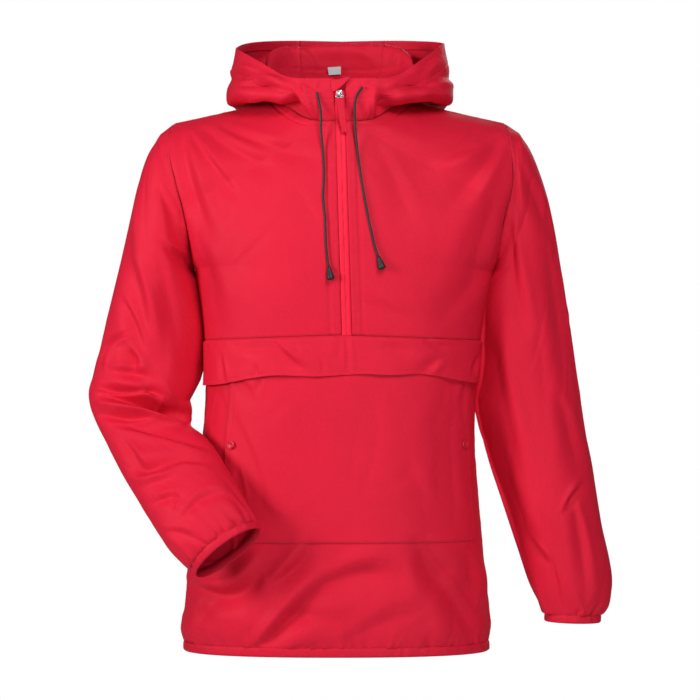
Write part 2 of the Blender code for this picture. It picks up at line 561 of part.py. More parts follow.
def add_hem_binding():
    """The narrow elasticated band round the hem."""
    turns = np.linspace(-1, 1, 33)
    top = HEM_Z + BINDING_TALL
    grid = []
    for z, out in ((HEM_Z, -0.0004), (top, 0.0002)):
        front = [body_point(top, 0.0, turn, True) for turn in turns]
        back = [body_point(top, 0.0, turn, False) for turn in turns[::-1]]
        ring = np.array(front + back[1:-1])
        ring[:, 2] = z
        grid.append([point - inward(point) * out for point in ring])
    add_wall("hem_binding", [thickened(np.array(grid))], "binding", ring=True)


# ---------------------------------------------------------------- pocket and flap
def add_pocket():
    """The pouch panel, stitched flat on the lower front; its sides are the hand openings."""
    first = FRONT_TURNS.index(POCKET_LEFT_TURN)
    last = FRONT_TURNS.index(POCKET_RIGHT_TURN)
    panel = front_lower_grid()
    rows = slice(POCKET_ROW, POCKET_TOP_ROW + 1)
    inner = offset_by_normals(panel, LAYER_GAP)[rows, first:last + 1]
    outer = offset_by_normals(panel, LAYER_GAP + CLOTH)[rows, first:last + 1]
    add_wall("pocket_panel", [(outer, inner)])


def add_flap():
    """The full-width flap from the yoke seam; its free lower edge stands off the pocket."""
    panel = front_lower_grid()[FLAP_ROW:, 1:-1]
    normals = offset_by_normals(panel, 1.0) - panel
    columns = np.arange(panel.shape[1])
    ripple = np.sin(1.9 * columns + 0.8 * np.sin(columns))
    ends = np.clip((panel.shape[1] / 2 - np.abs(columns - (panel.shape[1] - 1) / 2)) / 4, 0.12, 1)
    lift = np.array([base + wave * ripple for base, wave in zip(FLAP_STAND, FLAP_WAVES)]) * ends
    lift = np.maximum(lift, FLAP_STAND[-1])[:, :, None]
    add_wall("pocket_flap", [(panel + normals * (lift + CLOTH), panel + normals * lift)])


# ---------------------------------------------------------------- sleeves
def sleeve_fold(folds, ring, angle):
    """How far a sleeve's folds push in at a ring number and an angle round it."""
    total = 0.0
    for fold in folds:
        run = np.array([fold.ring1 - fold.ring0, (fold.angle1 - fold.angle0) / 30.0])
        offset = np.array([ring - fold.ring0, (angle - fold.angle0) / 30.0])
        along = np.clip(offset @ run / max(run @ run, 1e-9), 0, 1)
        away = np.linalg.norm(offset - along * run) / fold.width
        total += fold.depth * fold_profile(along, away)
    return total


def ring_point(ring, angle, bow, tilt=0.0):
    """Point of a sleeve's ring; angle 0 is outer, 90 front, 180 inner and 270 back.

    A tilted ring has its back further down the sleeve than its front.
    """
    turn = math.radians(angle)
    across, forward = math.cos(turn), math.sin(turn)
    square = 2.0 if across > 0 else ring.square
    reach = math.copysign(abs(across) ** (2 / square), across)
    bulge = math.copysign(abs(forward) ** (2 / square), forward)
    middle = np.array([(ring.outer_x + ring.inner_x) / 2, (ring.outer_z + ring.inner_z) / 2])
    half = np.array([ring.outer_x, ring.outer_z]) - middle
    aside = unit(np.array([half[1], -half[0]]))
    aside *= math.copysign(bow * (1 - reach * reach), aside[0] * ring.outer_x)
    x, z = middle + half * reach + aside
    down = unit(np.array([half[1], -half[0]]))
    down *= math.copysign(1.0, -down[1])
    y = ring.middle - bulge * (ring.front if forward > 0 else ring.back)
    x, z = np.array([x, z]) + down * tilt * (y - ring.middle)
    return np.array([x, y, z])


def sleeve_angles():
    """Angles round a sleeve that meet the chest's and the back's own points at the armhole."""
    front = [180 * (1 - (at - BODY_AT) / (1 - BODY_AT)) for at in CHEST_ROWS if at >= BODY_AT]
    back = [180 + 180 * at for at in BACK_ROWS]
    return front[::-1] + back[1:-1]


def armhole_ring_point(right, angle):
    """Point of the armhole by the same angle as a sleeve's ring."""
    front = angle <= 180
    at = 1 - angle / 180 if front else (angle - 180) / 180
    return armhole_point(at, right, front)


def sleeve_grid(table, folds, right, rows):
    """The sleeve's outer face from the armhole to the cuff."""
    count = len(table)
    knots = np.arange(1, count + 1)
    angles = sleeve_angles()
    grid = np.zeros((rows, len(angles), 3))
    for i, at in enumerate(np.linspace(0, count, rows)):
        ring = Ring(*spline(knots, table, max(at, 1.0)))
        own = min(at, 1.0)
        bow = (SLEEVE_BOW_RIGHT if right else SLEEVE_BOW_LEFT) * max(0.0, 1 - at / 7) ** 2
        turned = max(0.0, (at / count - TILT_FROM) / (1 - TILT_FROM))
        tilt = 0.0 if right else CUFF_TILT_LEFT * turned ** TILT_POWER
        for j, angle in enumerate(angles):
            hole = armhole_ring_point(right, angle)
            point = hole + (ring_point(ring, angle, bow, tilt) - hole) * own
            middle = np.array([(ring.outer_x + ring.inner_x) / 2, ring.middle,
                               (ring.outer_z + ring.inner_z) / 2])
            gather = CUFF_GATHER * math.exp((at - count) / 0.9)
            gather *= math.sin(math.radians(angle) * CUFF_WAVES + 0.6)
            push = sleeve_fold(folds, at, angle) * min(own, 1) - gather * (at < count)
            if abs(angle - 180) < 50 and at < 11:
                push = max(push, 0.0)
            grid[i, j] = point + unit(middle - point) * push
    away = grid[1] - grid[0]
    grid[0] += SEAM_GAP * 1.5 * away / np.linalg.norm(away, axis=1, keepdims=True)
    return grid


def sleeve_wall(grid):
    """The sleeve's grid and its inner face, by the grid's own normals."""
    inner = offset_by_normals(grid, -CLOTH, closed=True)
    middle = grid.mean(axis=1, keepdims=True)
    grown = np.linalg.norm(inner - middle, axis=2).mean() > np.linalg.norm(grid - middle, axis=2).mean()
    return grid, offset_by_normals(grid, CLOTH, closed=True) if grown else inner


def add_sleeves():
    for name, table, folds, right in (("sleeve_left", SLEEVE_LEFT, LEFT_SLEEVE_FOLDS, False),
                                      ("sleeve_right", SLEEVE_RIGHT, RIGHT_SLEEVE_FOLDS, True)):
        grid = sleeve_grid(table, folds, right, 21 if right else 24)
        add_wall(name, [sleeve_wall(grid)], ring=True)
        add_cuff(name.replace("sleeve", "cuff_binding"), grid[-2:])


def add_cuff(name, last_rings):
    """The elasticated binding that carries on from the sleeve's last ring."""
    end = last_rings[1]
    middle = end.mean(axis=0)
    along = unit(middle - last_rings[0].mean(axis=0))
    rings = []
    for share in (1.0, CUFF_INNER):
        rings.append(np.array([middle + (end - middle) * draw * share + along * step
                               for step, draw in CUFF_RINGS]))
    add_wall(name, [tuple(rings)], "binding", ring=True)


# ---------------------------------------------------------------- hood
HOOD_GRID_ROWS = 15
HOOD_SEAM_RISE = 0.0005   # how far the hood's lower edge starts above the neckline
HOOD_SEAM_HALF = 0.14     # degrees kept free on each side of the seam to the centre panel


def hood_point(angle, at, left=False):
    """Point of the hood: angle round the neck, at from the neck seam (0) to the rim (1)."""
    angles = [section.angle for section in HOOD]
    columns = [[section[k] for section in HOOD] for k in range(1, 6)]
    profile = [spline(angles, column, angle) for column in columns]
    lengths = np.cumsum([0] + [np.linalg.norm(b - a) ** 0.5 for a, b in zip(profile, profile[1:])])
    point = spline(lengths / lengths[-1], profile, at)
    if left:
        point[0] = -point[0] * (1.0 + 0.02 * math.sin(math.radians(angle)))
    return point


def hood_normal(angle, at, left):
    """Direction from the hood's cloth into its bowl."""
    step = 0.5
    across = hood_point(min(angle + step, 180), at, left) - hood_point(max(angle - step, 0), at, left)
    along = hood_point(angle, min(at + 0.01, 1), left) - hood_point(angle, max(at - 0.01, 0), left)
    normal = unit(np.cross(across, along))
    return normal if left else -normal


def hood_wall(angles_of, columns, left, aside=0.0):
    """Outer and inner grid of the hood between two angles that change from the neck to the rim."""
    outer = np.zeros((HOOD_GRID_ROWS, columns, 3))
    inner = outer.copy()
    for i, at in enumerate(np.linspace(0, 1, HOOD_GRID_ROWS)):
        start, end = angles_of(at)
        for j, share in enumerate(np.linspace(0, 1, columns)):
            angle = start + (end - start) * share
            point = hood_point(angle, at, left)
            if i == 0:
                point += unit(hood_point(angle, 0.04, left) - point) * HOOD_SEAM_RISE
            if aside:
                fade = max(0.0, 1 - abs(point[0]) / 0.03)
                point[0] = math.copysign(max(abs(point[0]), aside), -1 if left else 1)
                point[0] += zip_middle(point[2]) * fade
            outer[i, j] = point
            inner[i, j] = point + hood_normal(angle, at, left) * CLOTH
    return outer, inner


def panel_start(at):
    """Angle of the seam between a hood side and the hood's centre panel."""
    return HOOD_PANEL_NECK + (HOOD_PANEL_RIM - HOOD_PANEL_NECK) * min(1.0, at / 0.5)


def add_hood():
    for left, name in ((True, "hood_side_left"), (False, "hood_side_right")):
        patch = hood_wall(lambda at: (0.0, panel_start(at) - HOOD_SEAM_HALF), 17, left,
                          TAPE_HALF + SEAM_GAP)
        add_wall(name, [patch])
    halves = [hood_wall(lambda at: (panel_start(at) + HOOD_SEAM_HALF, 180.0), 5, left)
              for left in (True, False)]
    whole = [np.concatenate([one, other[:, -2::-1]], axis=1) for one, other in zip(*halves)]
    add_wall("hood_center", [tuple(whole)])


# ---------------------------------------------------------------- zip
def zip_path(count):
    """Middle of the zip from the yoke seam up the chest and the collar to the zip's top."""
    chest = [edge_point(FRONT_EDGE, at, True, 0.0) for at in np.linspace(0.0, THROAT_AT, count - 4)]
    chest[0][2] += SEAM_GAP
    collar = [hood_point(0.0, at) for at in np.linspace(0.0, 1.0, 40)]
    heights = [point[2] for point in collar]
    for z in np.linspace(chest[-1][2], ZIP_TOP_Z, 5)[1:]:
        chest.append(np.array([zip_middle(z), np.interp(z, heights, [p[1] for p in collar]), z]))
    return chest


def add_zip_tapes():
    path = zip_path(20)
    for sign, name in ((-1, "zip_tape_left"), (1, "zip_tape_right")):
        near, far = sign * SEAM_GAP / 2, sign * TAPE_HALF
        grid = np.array([[point + (near, 0, 0), point + (far, 0, 0)] for point in path])
        add_wall(name, [thickened(grid, lambda point: np.array([0.0, 1.0, 0.0]))], "tape")


def add_zip_guard():
    """The folded corner of cloth that covers the zip's upper end at the chin."""
    foot, foot_y = GUARD_FOOT
    points = [(x, foot_y + (z - GUARD_OUTLINE[foot][1]) * GUARD_LEAN - depth, z)
              for depth in (0.0, CLOTH) for x, z in GUARD_OUTLINE]
    count = len(GUARD_OUTLINE)
    faces = [tuple(range(count)), tuple(range(2 * count - 1, count - 1, -1))]
    faces += [(k, (k + 1) % count, count + (k + 1) % count, count + k) for k in range(count)]
    add_solid("zip_guard", points, faces, "cloth")


def add_block(name, size, centre, material, hidden=False):
    """A cuboid, kept out of the result where it only cuts or joins another."""
    bpy.ops.mesh.primitive_cube_add(size=1.0, location=centre)
    block = bpy.context.object
    block.name = name
    block.scale = size
    block.data.materials.append(add_material(material))
    block.hide_render = hidden
    return block


def add_boolean(target, other, operation):
    """A Boolean modifier with the exact solver."""
    modifier = target.modifiers.new(operation.lower(), "BOOLEAN")
    modifier.operation = operation
    modifier.solver = "EXACT"
    modifier.object = other


def slider_face():
    """y of the slider's outer face."""
    return HOOD[0].low_out[1] - LAYER_GAP - SLIDER_SIZE[1]


def pin_point():
    """Middle of the bail's upper bar, where the pull swings."""
    return np.array([zip_middle(SLIDER_Z), slider_face() - PIN_OUT, SLIDER_Z + 0.0005])


def add_slider():
    """The slider's body with the bridge that holds the bail."""
    x = zip_middle(SLIDER_Z)
    pin = pin_point()
    centre = (x, slider_face() + SLIDER_SIZE[1] / 2, SLIDER_Z)
    body = add_block("zip_slider", SLIDER_SIZE, centre, "metal")
    bridge_out = PIN_OUT + BAIL_WIRE + BRIDGE_COVER
    bridge = add_block("bridge", (BRIDGE_SIZE[0], bridge_out + LAYER_GAP, BRIDGE_SIZE[1]),
                       (x, slider_face() - (bridge_out - LAYER_GAP) / 2, pin[2]), "metal", True)
    slot_deep = 2 * (BAIL_WIRE + SLOT_ROOM)
    slot = add_block("slot", (SLOT_SIZE[0], slot_deep, SLOT_SIZE[1]), tuple(pin), "metal", True)
    add_boolean(body, bridge, "UNION")
    add_boolean(body, slot, "DIFFERENCE")


def add_bail():
    """The wire bail: a closed loop whose upper bar lies in the slider's bridge."""
    corner, steps = 0.0012, 4
    points = []
    for x, z, start in ((BAIL_HALF, 0.0, 90), (BAIL_FOOT, -BAIL_DROP, 0),
                        (-BAIL_FOOT, -BAIL_DROP, -90), (-BAIL_HALF, 0.0, -180)):
        middle_x, middle_z = x - math.copysign(corner, x), (z - corner if z == 0.0 else z + corner)
        for step in range(steps + 1):
            turn = math.radians(start - 90 * step / steps)
            points.append((middle_x + corner * math.cos(turn), 0.0, middle_z + corner * math.sin(turn)))
    data = bpy.data.curves.new("zip_bail", "CURVE")
    data.dimensions = "3D"
    data.bevel_depth = BAIL_WIRE
    data.bevel_resolution = 1
    spline_data = data.splines.new("POLY")
    spline_data.points.add(len(points) - 1)
    for slot, point in zip(spline_data.points, points):
        slot.co = (*point, 1.0)
    spline_data.use_cyclic_u = True
    bail = bpy.data.objects.new("zip_bail", data)
    data.materials.append(add_material("metal"))
    bpy.context.scene.collection.objects.link(bail)
    return bail


def add_pull():
    """The swinging pull: the bail and its cloth tab, carried by an empty on the swing axis."""
    hinge = bpy.data.objects.new("pull_hinge", None)
    hinge.location = tuple(pin_point())
    bpy.context.scene.collection.objects.link(hinge)
    bail = add_bail()
    bail.parent = hinge
    width, thick, long = PULLER_SIZE
    top = -BAIL_DROP - BAIL_WIRE - SEAM_GAP
    rows = 6
    points, faces = [], []
    for i, share in enumerate(np.linspace(0, 1, rows)):
        middle, z = PULLER_LEAN * share, top - long * share
        for x, y in ((-width / 2, -thick / 2), (width / 2, -thick / 2),
                     (width / 2, thick / 2), (-width / 2, thick / 2)):
            points.append((middle + x, y, z))
        if i:
            faces += [(4 * i - 4 + k, 4 * i - 4 + (k + 1) % 4, 4 * i + (k + 1) % 4, 4 * i + k)
                      for k in range(4)]
    faces += [(0, 1, 2, 3), tuple(4 * rows - 4 + k for k in (3, 2, 1, 0))]
    puller = add_solid("zip_puller", points, faces, "cloth")
    puller.parent = hinge


# ---------------------------------------------------------------- cords, snaps and label
def smooth_route(route, count):
    """Evenly spaced points of the smooth curve through a cord's route."""
    knots = np.linspace(0, 1, len(route))
    fine = np.array([spline(knots, route, at) for at in np.linspace(0, 1, 400)])
    lengths = np.concatenate([[0], np.cumsum(np.linalg.norm(np.diff(fine, axis=0), axis=1))])
    marks = np.linspace(0, lengths[-1], count)
    return np.array([[np.interp(mark, lengths, fine[:, k]) for k in range(3)] for mark in marks])


def add_cord(name, route):
    """A drawcord as a capped tube."""
    points = smooth_route(route, 28)
    data = bpy.data.curves.new(name, "CURVE")
    data.dimensions = "3D"
    data.bevel_depth = CORD_RADIUS
    data.bevel_resolution = 2
    data.use_fill_caps = True
    tube = data.splines.new("POLY")
    tube.points.add(len(points) - 1)
    for slot, point in zip(tube.points, points):
        slot.co = (*point, 1.0)
    data.materials.append(add_material("cord"))
    cord = bpy.data.objects.new(name, data)
    bpy.context.scene.collection.objects.link(cord)
    return points


def add_round(name, start, axis, rings, material, sides=20):
    """A turned solid: rings of (distance along the axis, radius), closed at both ends."""
    axis = unit(np.asarray(axis, float))
    side = unit(np.cross(axis, (1.0, 0.0, 0.0)))
    other = np.cross(axis, side)
    points, faces = [], []
    for i, (along, radius) in enumerate(rings):
        for k in range(sides):
            turn = 2 * math.pi * k / sides
            points.append(start + axis * along + radius * (side * math.cos(turn)
                                                           + other * math.sin(turn)))
        if i:
            low = (i - 1) * sides
            faces += [(low + k, low + (k + 1) % sides, low + sides + (k + 1) % sides,
                       low + sides + k) for k in range(sides)]
    faces += [tuple(range(sides)), tuple(range(len(points) - 1, len(points) - sides - 1, -1))]
    add_solid(name, points, faces, material)


def add_cords():
    for side, route in (("left", CORD_LEFT), ("right", CORD_RIGHT)):
        points = add_cord("cord_" + side, route)
        axis = unit(unit(points[-1] - points[-3]) + np.array([0.0, -0.14, 0.0]))
        small, large = CORD_END_RADII
        rings = [(0.0, small * 0.8), (0.001, small), (CORD_END_LONG - 0.002, large),
                 (CORD_END_LONG - 0.0006, large * 0.96), (CORD_END_LONG, large * 0.8)]
        add_round("cord_end_" + side, points[-1] + axis * SEAM_GAP, axis, rings, "cord_end")


def front_surface(z, turn):
    """Point of the lower front with its folds, and its outward normal."""
    def place(height, share):
        point = body_point(height, 0.0, share, True)
        return point + inward(point) * fold_depth(FRONT_FOLDS, point)
    across = place(z, turn + 0.01) - place(z, turn - 0.01)
    along = place(z + 0.002, turn) - place(z - 0.002, turn)
    return place(z, turn), unit(np.cross(across, along))


def add_snaps():
    """The snaps near the pouch's side edges."""
    for side, turn in (("left", POCKET_LEFT_TURN + 0.045), ("right", POCKET_RIGHT_TURN - 0.065)):
        point, normal = front_surface(SNAP_Z, turn)
        start = point + normal * (2 * LAYER_GAP + CLOTH + SEAM_GAP)
        rings = [(0.0, SNAP_RADIUS), (SNAP_TALL * 0.6, SNAP_RADIUS), (SNAP_TALL, SNAP_RADIUS * 0.8)]
        add_round("snap_" + side, start, normal, rings, "snap_paint", 24)


def add_label():
    """The blank label inside the neck, a little left of the middle."""
    grids = [np.zeros((2, 4, 3)), np.zeros((2, 4, 3))]
    for i, at in enumerate(LABEL_AT):
        for j, angle in enumerate(np.linspace(*LABEL_ANGLES, 4)):
            point, normal = hood_point(angle, at, True), hood_normal(angle, at, True)
            grids[0][i, j] = point + normal * (CLOTH + LAYER_GAP)
            grids[1][i, j] = point + normal * (CLOTH + LAYER_GAP + LABEL_THICK)
    add_wall("neck_label", [tuple(grids)], "label")


# ---------------------------------------------------------------- build
def clear_scene():
    for item in list(bpy.data.objects):
        bpy.data.objects.remove(item, do_unlink=True)


def main():
    clear_scene()
    add_chest()
    add_front_lower()
    add_back()
    add_hem_binding()
    add_pocket()
    add_flap()
    add_sleeves()
    add_hood()
    add_zip_tapes()
    add_zip_guard()
    add_slider()
    add_pull()
    add_cords()
    add_snaps()
    add_label()


main()
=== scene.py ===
"""Dresses the anorak pullover: crumpled nylon shell, seams and stitching, zip, cords and trims.

Units are metres in the packed model's frame: +Z up, the front faces -Y, the origin in the neck
opening. Left and right are the viewer's. Run it as a script in Blender.
"""

import math
from collections import namedtuple
from contextlib import contextmanager

import bmesh
import bpy
import numpy as np
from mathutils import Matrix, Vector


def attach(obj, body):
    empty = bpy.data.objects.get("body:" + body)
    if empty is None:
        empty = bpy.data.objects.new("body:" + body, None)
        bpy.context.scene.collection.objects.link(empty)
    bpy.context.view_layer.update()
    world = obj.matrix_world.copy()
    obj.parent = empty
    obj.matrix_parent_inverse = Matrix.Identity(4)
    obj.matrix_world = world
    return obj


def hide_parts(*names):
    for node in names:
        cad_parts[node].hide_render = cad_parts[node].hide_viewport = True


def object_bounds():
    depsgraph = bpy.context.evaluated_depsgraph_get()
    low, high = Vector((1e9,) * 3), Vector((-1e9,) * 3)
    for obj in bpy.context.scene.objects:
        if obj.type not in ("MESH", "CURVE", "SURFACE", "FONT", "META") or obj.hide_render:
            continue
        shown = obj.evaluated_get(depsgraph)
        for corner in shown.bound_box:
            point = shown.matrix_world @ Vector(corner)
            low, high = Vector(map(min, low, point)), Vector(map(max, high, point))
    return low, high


bl_info = {
    "name": "Anorak Pullover",
    "version": (1, 0, 0),
    "blender": (4, 5, 0),
    "location": "3D View > Sidebar > Anorak",
    "description": "Models the cloth, seams, zip, cords and trims of a hooded pullover anorak",
    "category": "Add Mesh",
}

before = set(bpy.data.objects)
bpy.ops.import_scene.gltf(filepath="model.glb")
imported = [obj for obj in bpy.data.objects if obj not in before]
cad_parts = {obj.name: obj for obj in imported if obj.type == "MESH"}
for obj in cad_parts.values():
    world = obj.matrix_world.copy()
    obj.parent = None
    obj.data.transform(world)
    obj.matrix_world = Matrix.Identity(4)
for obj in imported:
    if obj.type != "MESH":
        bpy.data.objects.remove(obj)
CAD_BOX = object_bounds()

# ---------------------------------------------------------------- sizes shared with the solids
SEAM_GAP = 0.0003
HEM_Z = -0.73
BINDING_TALL = 0.01
YOKE_CENTRE_Z = -0.3135
YOKE_SIDE_Z = -0.32
ARMPIT_Z = -0.227
TAPE_HALF = 0.0065
ZIP_TOP_Z = 0.003
SLIDER_SIZE = (0.009, 0.0022, 0.01)
SLIDER_Z = -0.001
PIN_OUT = 0.0016
BAIL_DROP = 0.0052
BAIL_TOP = 0.0031
BAIL_FOOT = 0.005
PULLER_SIZE = (0.01, 0.0016, 0.044)
PULLER_LEAN = 0.0065
BRIDGE_HALF = 0.0014
SNAP_Z = -0.456
CORD_RADIUS = 0.0015
HOOD_PANEL_NECK = 146.0
HOOD_PANEL_RIM = 163.0
LABEL_AT = (0.015, 0.05)
LABEL_ANGLES = (170.0, 179.6)
# Distances within which points are welded, in cloth and in solid trims.
CLOTH_WELD, FINE_WELD = 0.00005, 0.00001
FLOOR_HALF, FLOOR_Z = 5.8, -1.5
CAMERA_AT = (0.012, -4.0, -0.3325)
LIGHTS_AIM_Y = -0.06
SENSOR_WIDE = 36.0
POCKET_LEFT_TURN = -0.55
POCKET_RIGHT_TURN = 0.74
SLEEVE_BOW_LEFT = 0.012
SLEEVE_BOW_RIGHT = 0.018
CUFF_TILT_LEFT = 0.42
TILT_FROM = 0.55
TILT_POWER = 1.5
THROAT_AT = 0.62
BODY_AT = 0.28
NAPE_AT = 0.66


def table(kind, rows, plain):
    """Named rows from rows in millimetres; the plain columns aren't lengths."""
    return [kind(*(value if name in plain else value / 1000 for name, value in zip(kind._fields, row)))
            for row in rows]


# One row per level of the body: side seams' x, depth of front and back, and squareness.
Level = namedtuple("Level", "z left right front back square")
BODY = table(Level, [
    (-720, -206, 194, -118, 113, 2.4), (-702, -212, 198, -124, 120, 2.4),
    (-670, -207.5, 196.5, -126, 122, 2.4), (-622, -203.5, 190.5, -126, 120, 2.4),
    (-579, -198.5, 187, -125, 117, 2.4), (-520, -191, 182, -124, 114, 2.4),
    (-450, -184, 177.5, -124, 113, 2.4), (-390, -180, 179, -125, 114, 2.4),
    (-320, -181, 185.5, -128, 117, 2.4), (-227, -194, 197, -131, 121, 2.3),
], ("square",))
# One row per point of the armhole, from the armpit up to the tip of the shoulder.
Armhole = namedtuple("Armhole", "at z left right front back")
ARMHOLE = table(Armhole, [
    (0, -227, -194, 197, 0, 0), (0.12, -214, -196, 201, -24, 22), (0.3, -185, -200, 208.5, -43, 41),
    (0.48, -148, -207.5, 218, -54, 53), (0.66, -112, -217.5, 226, -57, 57),
    (0.82, -74.5, -226, 224.5, -48, 50), (0.92, -48.5, -226.5, 221, -30, 33),
    (1, -30.5, -222, 218, 0, 0),
], ("at",))
# Edges of chest and back beside the zip or centre line, then round the neckline.
Edge = namedtuple("Edge", "at beside x y z")
FRONT_EDGE = table(Edge, [
    (0, 1, 0, -128, -313.5), (0.15, 1, 0, -131, -260), (0.28, 1, 0, -131, -215),
    (0.4, 1, 0, -127.5, -155), (0.5, 1, 0, -119, -100), (0.62, 1, 0, -100, -36),
    (0.7, 0, 30, -96.5, -34.5), (0.78, 0, 48, -86, -29), (0.86, 0, 64, -62, -17),
    (0.93, 0, 75, -29, -6), (1, 0, 80, 0, 0),
], ("at", "beside"))
BACK_EDGE = table(Edge, [
    (0, 0, 0, 121, -227), (0.2, 0, 0, 119, -150), (0.38, 0, 0, 108, -70), (0.54, 0, 0, 91, -5),
    (0.66, 0, 0, 75, 36), (0.76, 0, 30, 70, 33), (0.84, 0, 54, 55, 24), (0.92, 0, 72, 30, 12),
    (1, 0, 80, 0, 0),
], ("at", "beside"))
SQUARE_CHEST = [(0.0, 2.4), (0.28, 2.3), (0.45, 2.0), (0.62, 1.7), (0.85, 1.35), (1.0, 1.05)]
SQUARE_BACK = [(0.0, 2.3), (0.3, 2.0), (0.66, 1.6), (0.85, 1.3), (1.0, 1.05)]
# Heights of the flap's free edge, the pouch's top and bottom, and how much lower they are at
# the side seams.
FrontLine = namedtuple("FrontLine", "z drop")
FLAP_EDGE = FrontLine(-0.365, 0.011)
POCKET_TOP = FrontLine(-0.334, 0.008)
POCKET_BOTTOM = FrontLine(-0.582, 0.0)
FRONT_LINES = [FrontLine(-0.72, 0.0), FrontLine(-0.454, 0.0), FrontLine(-0.422, 0.003),
               FrontLine(-0.392, 0.007), FLAP_EDGE, FrontLine(-0.35, 0.0095), POCKET_TOP,
               FrontLine(YOKE_CENTRE_Z, YOKE_CENTRE_Z - YOKE_SIDE_Z)]

# One row per ring of a sleeve: outer and inner point, middle depth, bulges and squareness.
Ring = namedtuple("Ring", "outer_x outer_z inner_x inner_z middle front back square")
SLEEVE_LEFT = table(Ring, [
    (-240, -45.5, -196.4, -233, 0, 60, 60, 2), (-257, -76, -196, -240, 0, 64, 62, 2.1),
    (-269, -122, -194.5, -251, 0, 66, 63, 2.2), (-281, -178, -192.5, -268, 0, 66, 63, 2.4),
    (-293, -236, -190, -292, 0, 65, 62, 2.5), (-305, -290, -189, -322, 0, 64, 60, 2.5),
    (-315, -330, -188.5, -352, -2, 62, 58, 2.5), (-326, -362, -188, -380, -6, 61, 56, 2.4),
    (-333.5, -386, -189, -405, -14, 60, 54, 2.3), (-331, -408, -193.5, -421, -24, 56, 54, 2.2),
    (-319, -434, -195, -433, -40, 52, 52, 2), (-302.5, -461.8, -179, -444, -68, 48, 46, 2),
    (-283, -495.2, -162, -462, -94, 45, 42, 2), (-259, -531, -147, -485, -119, 43, 40, 2),
    (-239.5, -560.2, -133, -506, -138, 42, 39, 2), (-220.5, -587.3, -120, -527, -151, 41, 38, 2),
    (-201, -607.5, -110.5, -543, -157, 40, 37, 2), (-190.5, -615.5, -107.5, -552.5, -160, 36, 33, 2),
], ("square",))
SLEEVE_RIGHT = table(Ring, [
    (237, -44, 199.4, -233, 0, 60, 60, 2), (252, -70, 199.6, -240, 0, 64, 62, 2.1),
    (266, -113, 199, -252, 0, 66, 63, 2.3), (278, -168, 197.5, -270, 0, 67, 63, 2.5),
    (287, -226, 195, -296, 0, 67, 62, 2.7), (297, -286, 192.5, -330, 0, 67, 61, 2.8),
    (307, -342, 189.5, -370, 0, 66, 60, 2.8), (316, -392, 186.5, -408, -2, 65, 58, 2.6),
    (324, -438, 188, -442, -4, 64, 57, 2.3), (333, -482, 199, -482, -6, 62, 55, 2.1),
    (339, -522, 213, -524, -9, 60, 54, 2), (346, -566, 227, -566, -12, 57, 52, 2),
    (355, -608, 241, -608, -15, 54, 50, 2), (358, -640, 252, -642, -17, 50, 47, 2),
    (354.5, -668, 262, -666, -18, 42, 40, 2), (345, -683, 269, -681, -18, 36, 34, 2),
], ("square",))

# One row per section of the hood's right half, by its angle round the neck from the throat.
Section = namedtuple("Section", "angle neck crest low_in low_out rim")
HOOD = [Section(angle, *np.reshape(row, (5, 3)) / 1000) for angle, *row in [
    (0, 0, -100, -36, 0, -104, -22, 0, -106, -10, 0, -106.2, 4, 0, -104, 19),
    (18, 30, -96.5, -34.5, 32, -103, -22, 34, -107, -10, 34.5, -108, 5, 34, -106, 19),
    (36, 48, -86, -29, 53, -96, -20, 60, -102, -8, 62, -103, 7, 56, -100, 20),
    (56, 64, -62, -17, 75, -76, -12, 90, -86, -3, 95, -87, 14, 78, -86, 27),
    (76, 75, -29, -6, 92, -40, -1, 119, -52, -6, 132, -54, 6, 106, -62, 48),
    (97, 80, 0, 0, 99, 1, 22, 127, -4, -6, 146.5, -8, -3.5, 133, -15, 73),
    (120, 72, 30, 12, 96, 44, 56, 121, 64, -5, 143.5, 64, -2, 136, 56, 83),
    (140, 54, 55, 24, 79, 76, 71, 100, 117, -24, 126, 135, -20, 112, 118, 90),
    (161, 30, 70, 33, 43, 89, 76, 62, 140, -75, 74, 174, -70, 64, 153, 94),
    (180, 0, 75, 36, 0, 93, 77, 0, 144, -100, 0, 182, -94, 0, 165, 94),
]]

# Routes of the drawcords, from the collar's eyelets down to the moulded ends.
CORD_LEFT = np.array([
    (-30.7, -109.7, 1.1), (-28.5, -110.2, -9), (-26.2, -110.4, -20.9), (-25.2, -110.4, -33),
    (-25.5, -110.4, -44.2), (-24.6, -110.6, -58), (-23, -112, -73.6), (-22, -115.8, -89),
    (-21.5, -119.5, -103.6), (-21.9, -122.7, -118), (-22.7, -125.2, -133.2), (-21.8, -127.4, -147),
    (-20.2, -129, -160.2), (-19.5, -130.7, -178), (-18.9, -131.8, -194.9), (-17.4, -132.6, -211),
    (-15.2, -134, -225),
]) / 1000
CORD_RIGHT = np.array([
    (28.2, -110, 7.6), (22.6, -110.4, 0), (19.2, -110.5, -9.3), (18.2, -110.5, -22),
    (18.5, -110.5, -35.1), (19.5, -110.6, -52), (21, -111.6, -68.3), (22.8, -114.8, -84),
    (24.8, -118.7, -99.5), (27, -121.9, -115), (29.6, -124.5, -130), (32.5, -126.8, -145.5),
    (35.2, -128.5, -160.2), (39.1, -130, -178), (42.9, -131, -194.9), (48.4, -132.6, -212),
]) / 1000


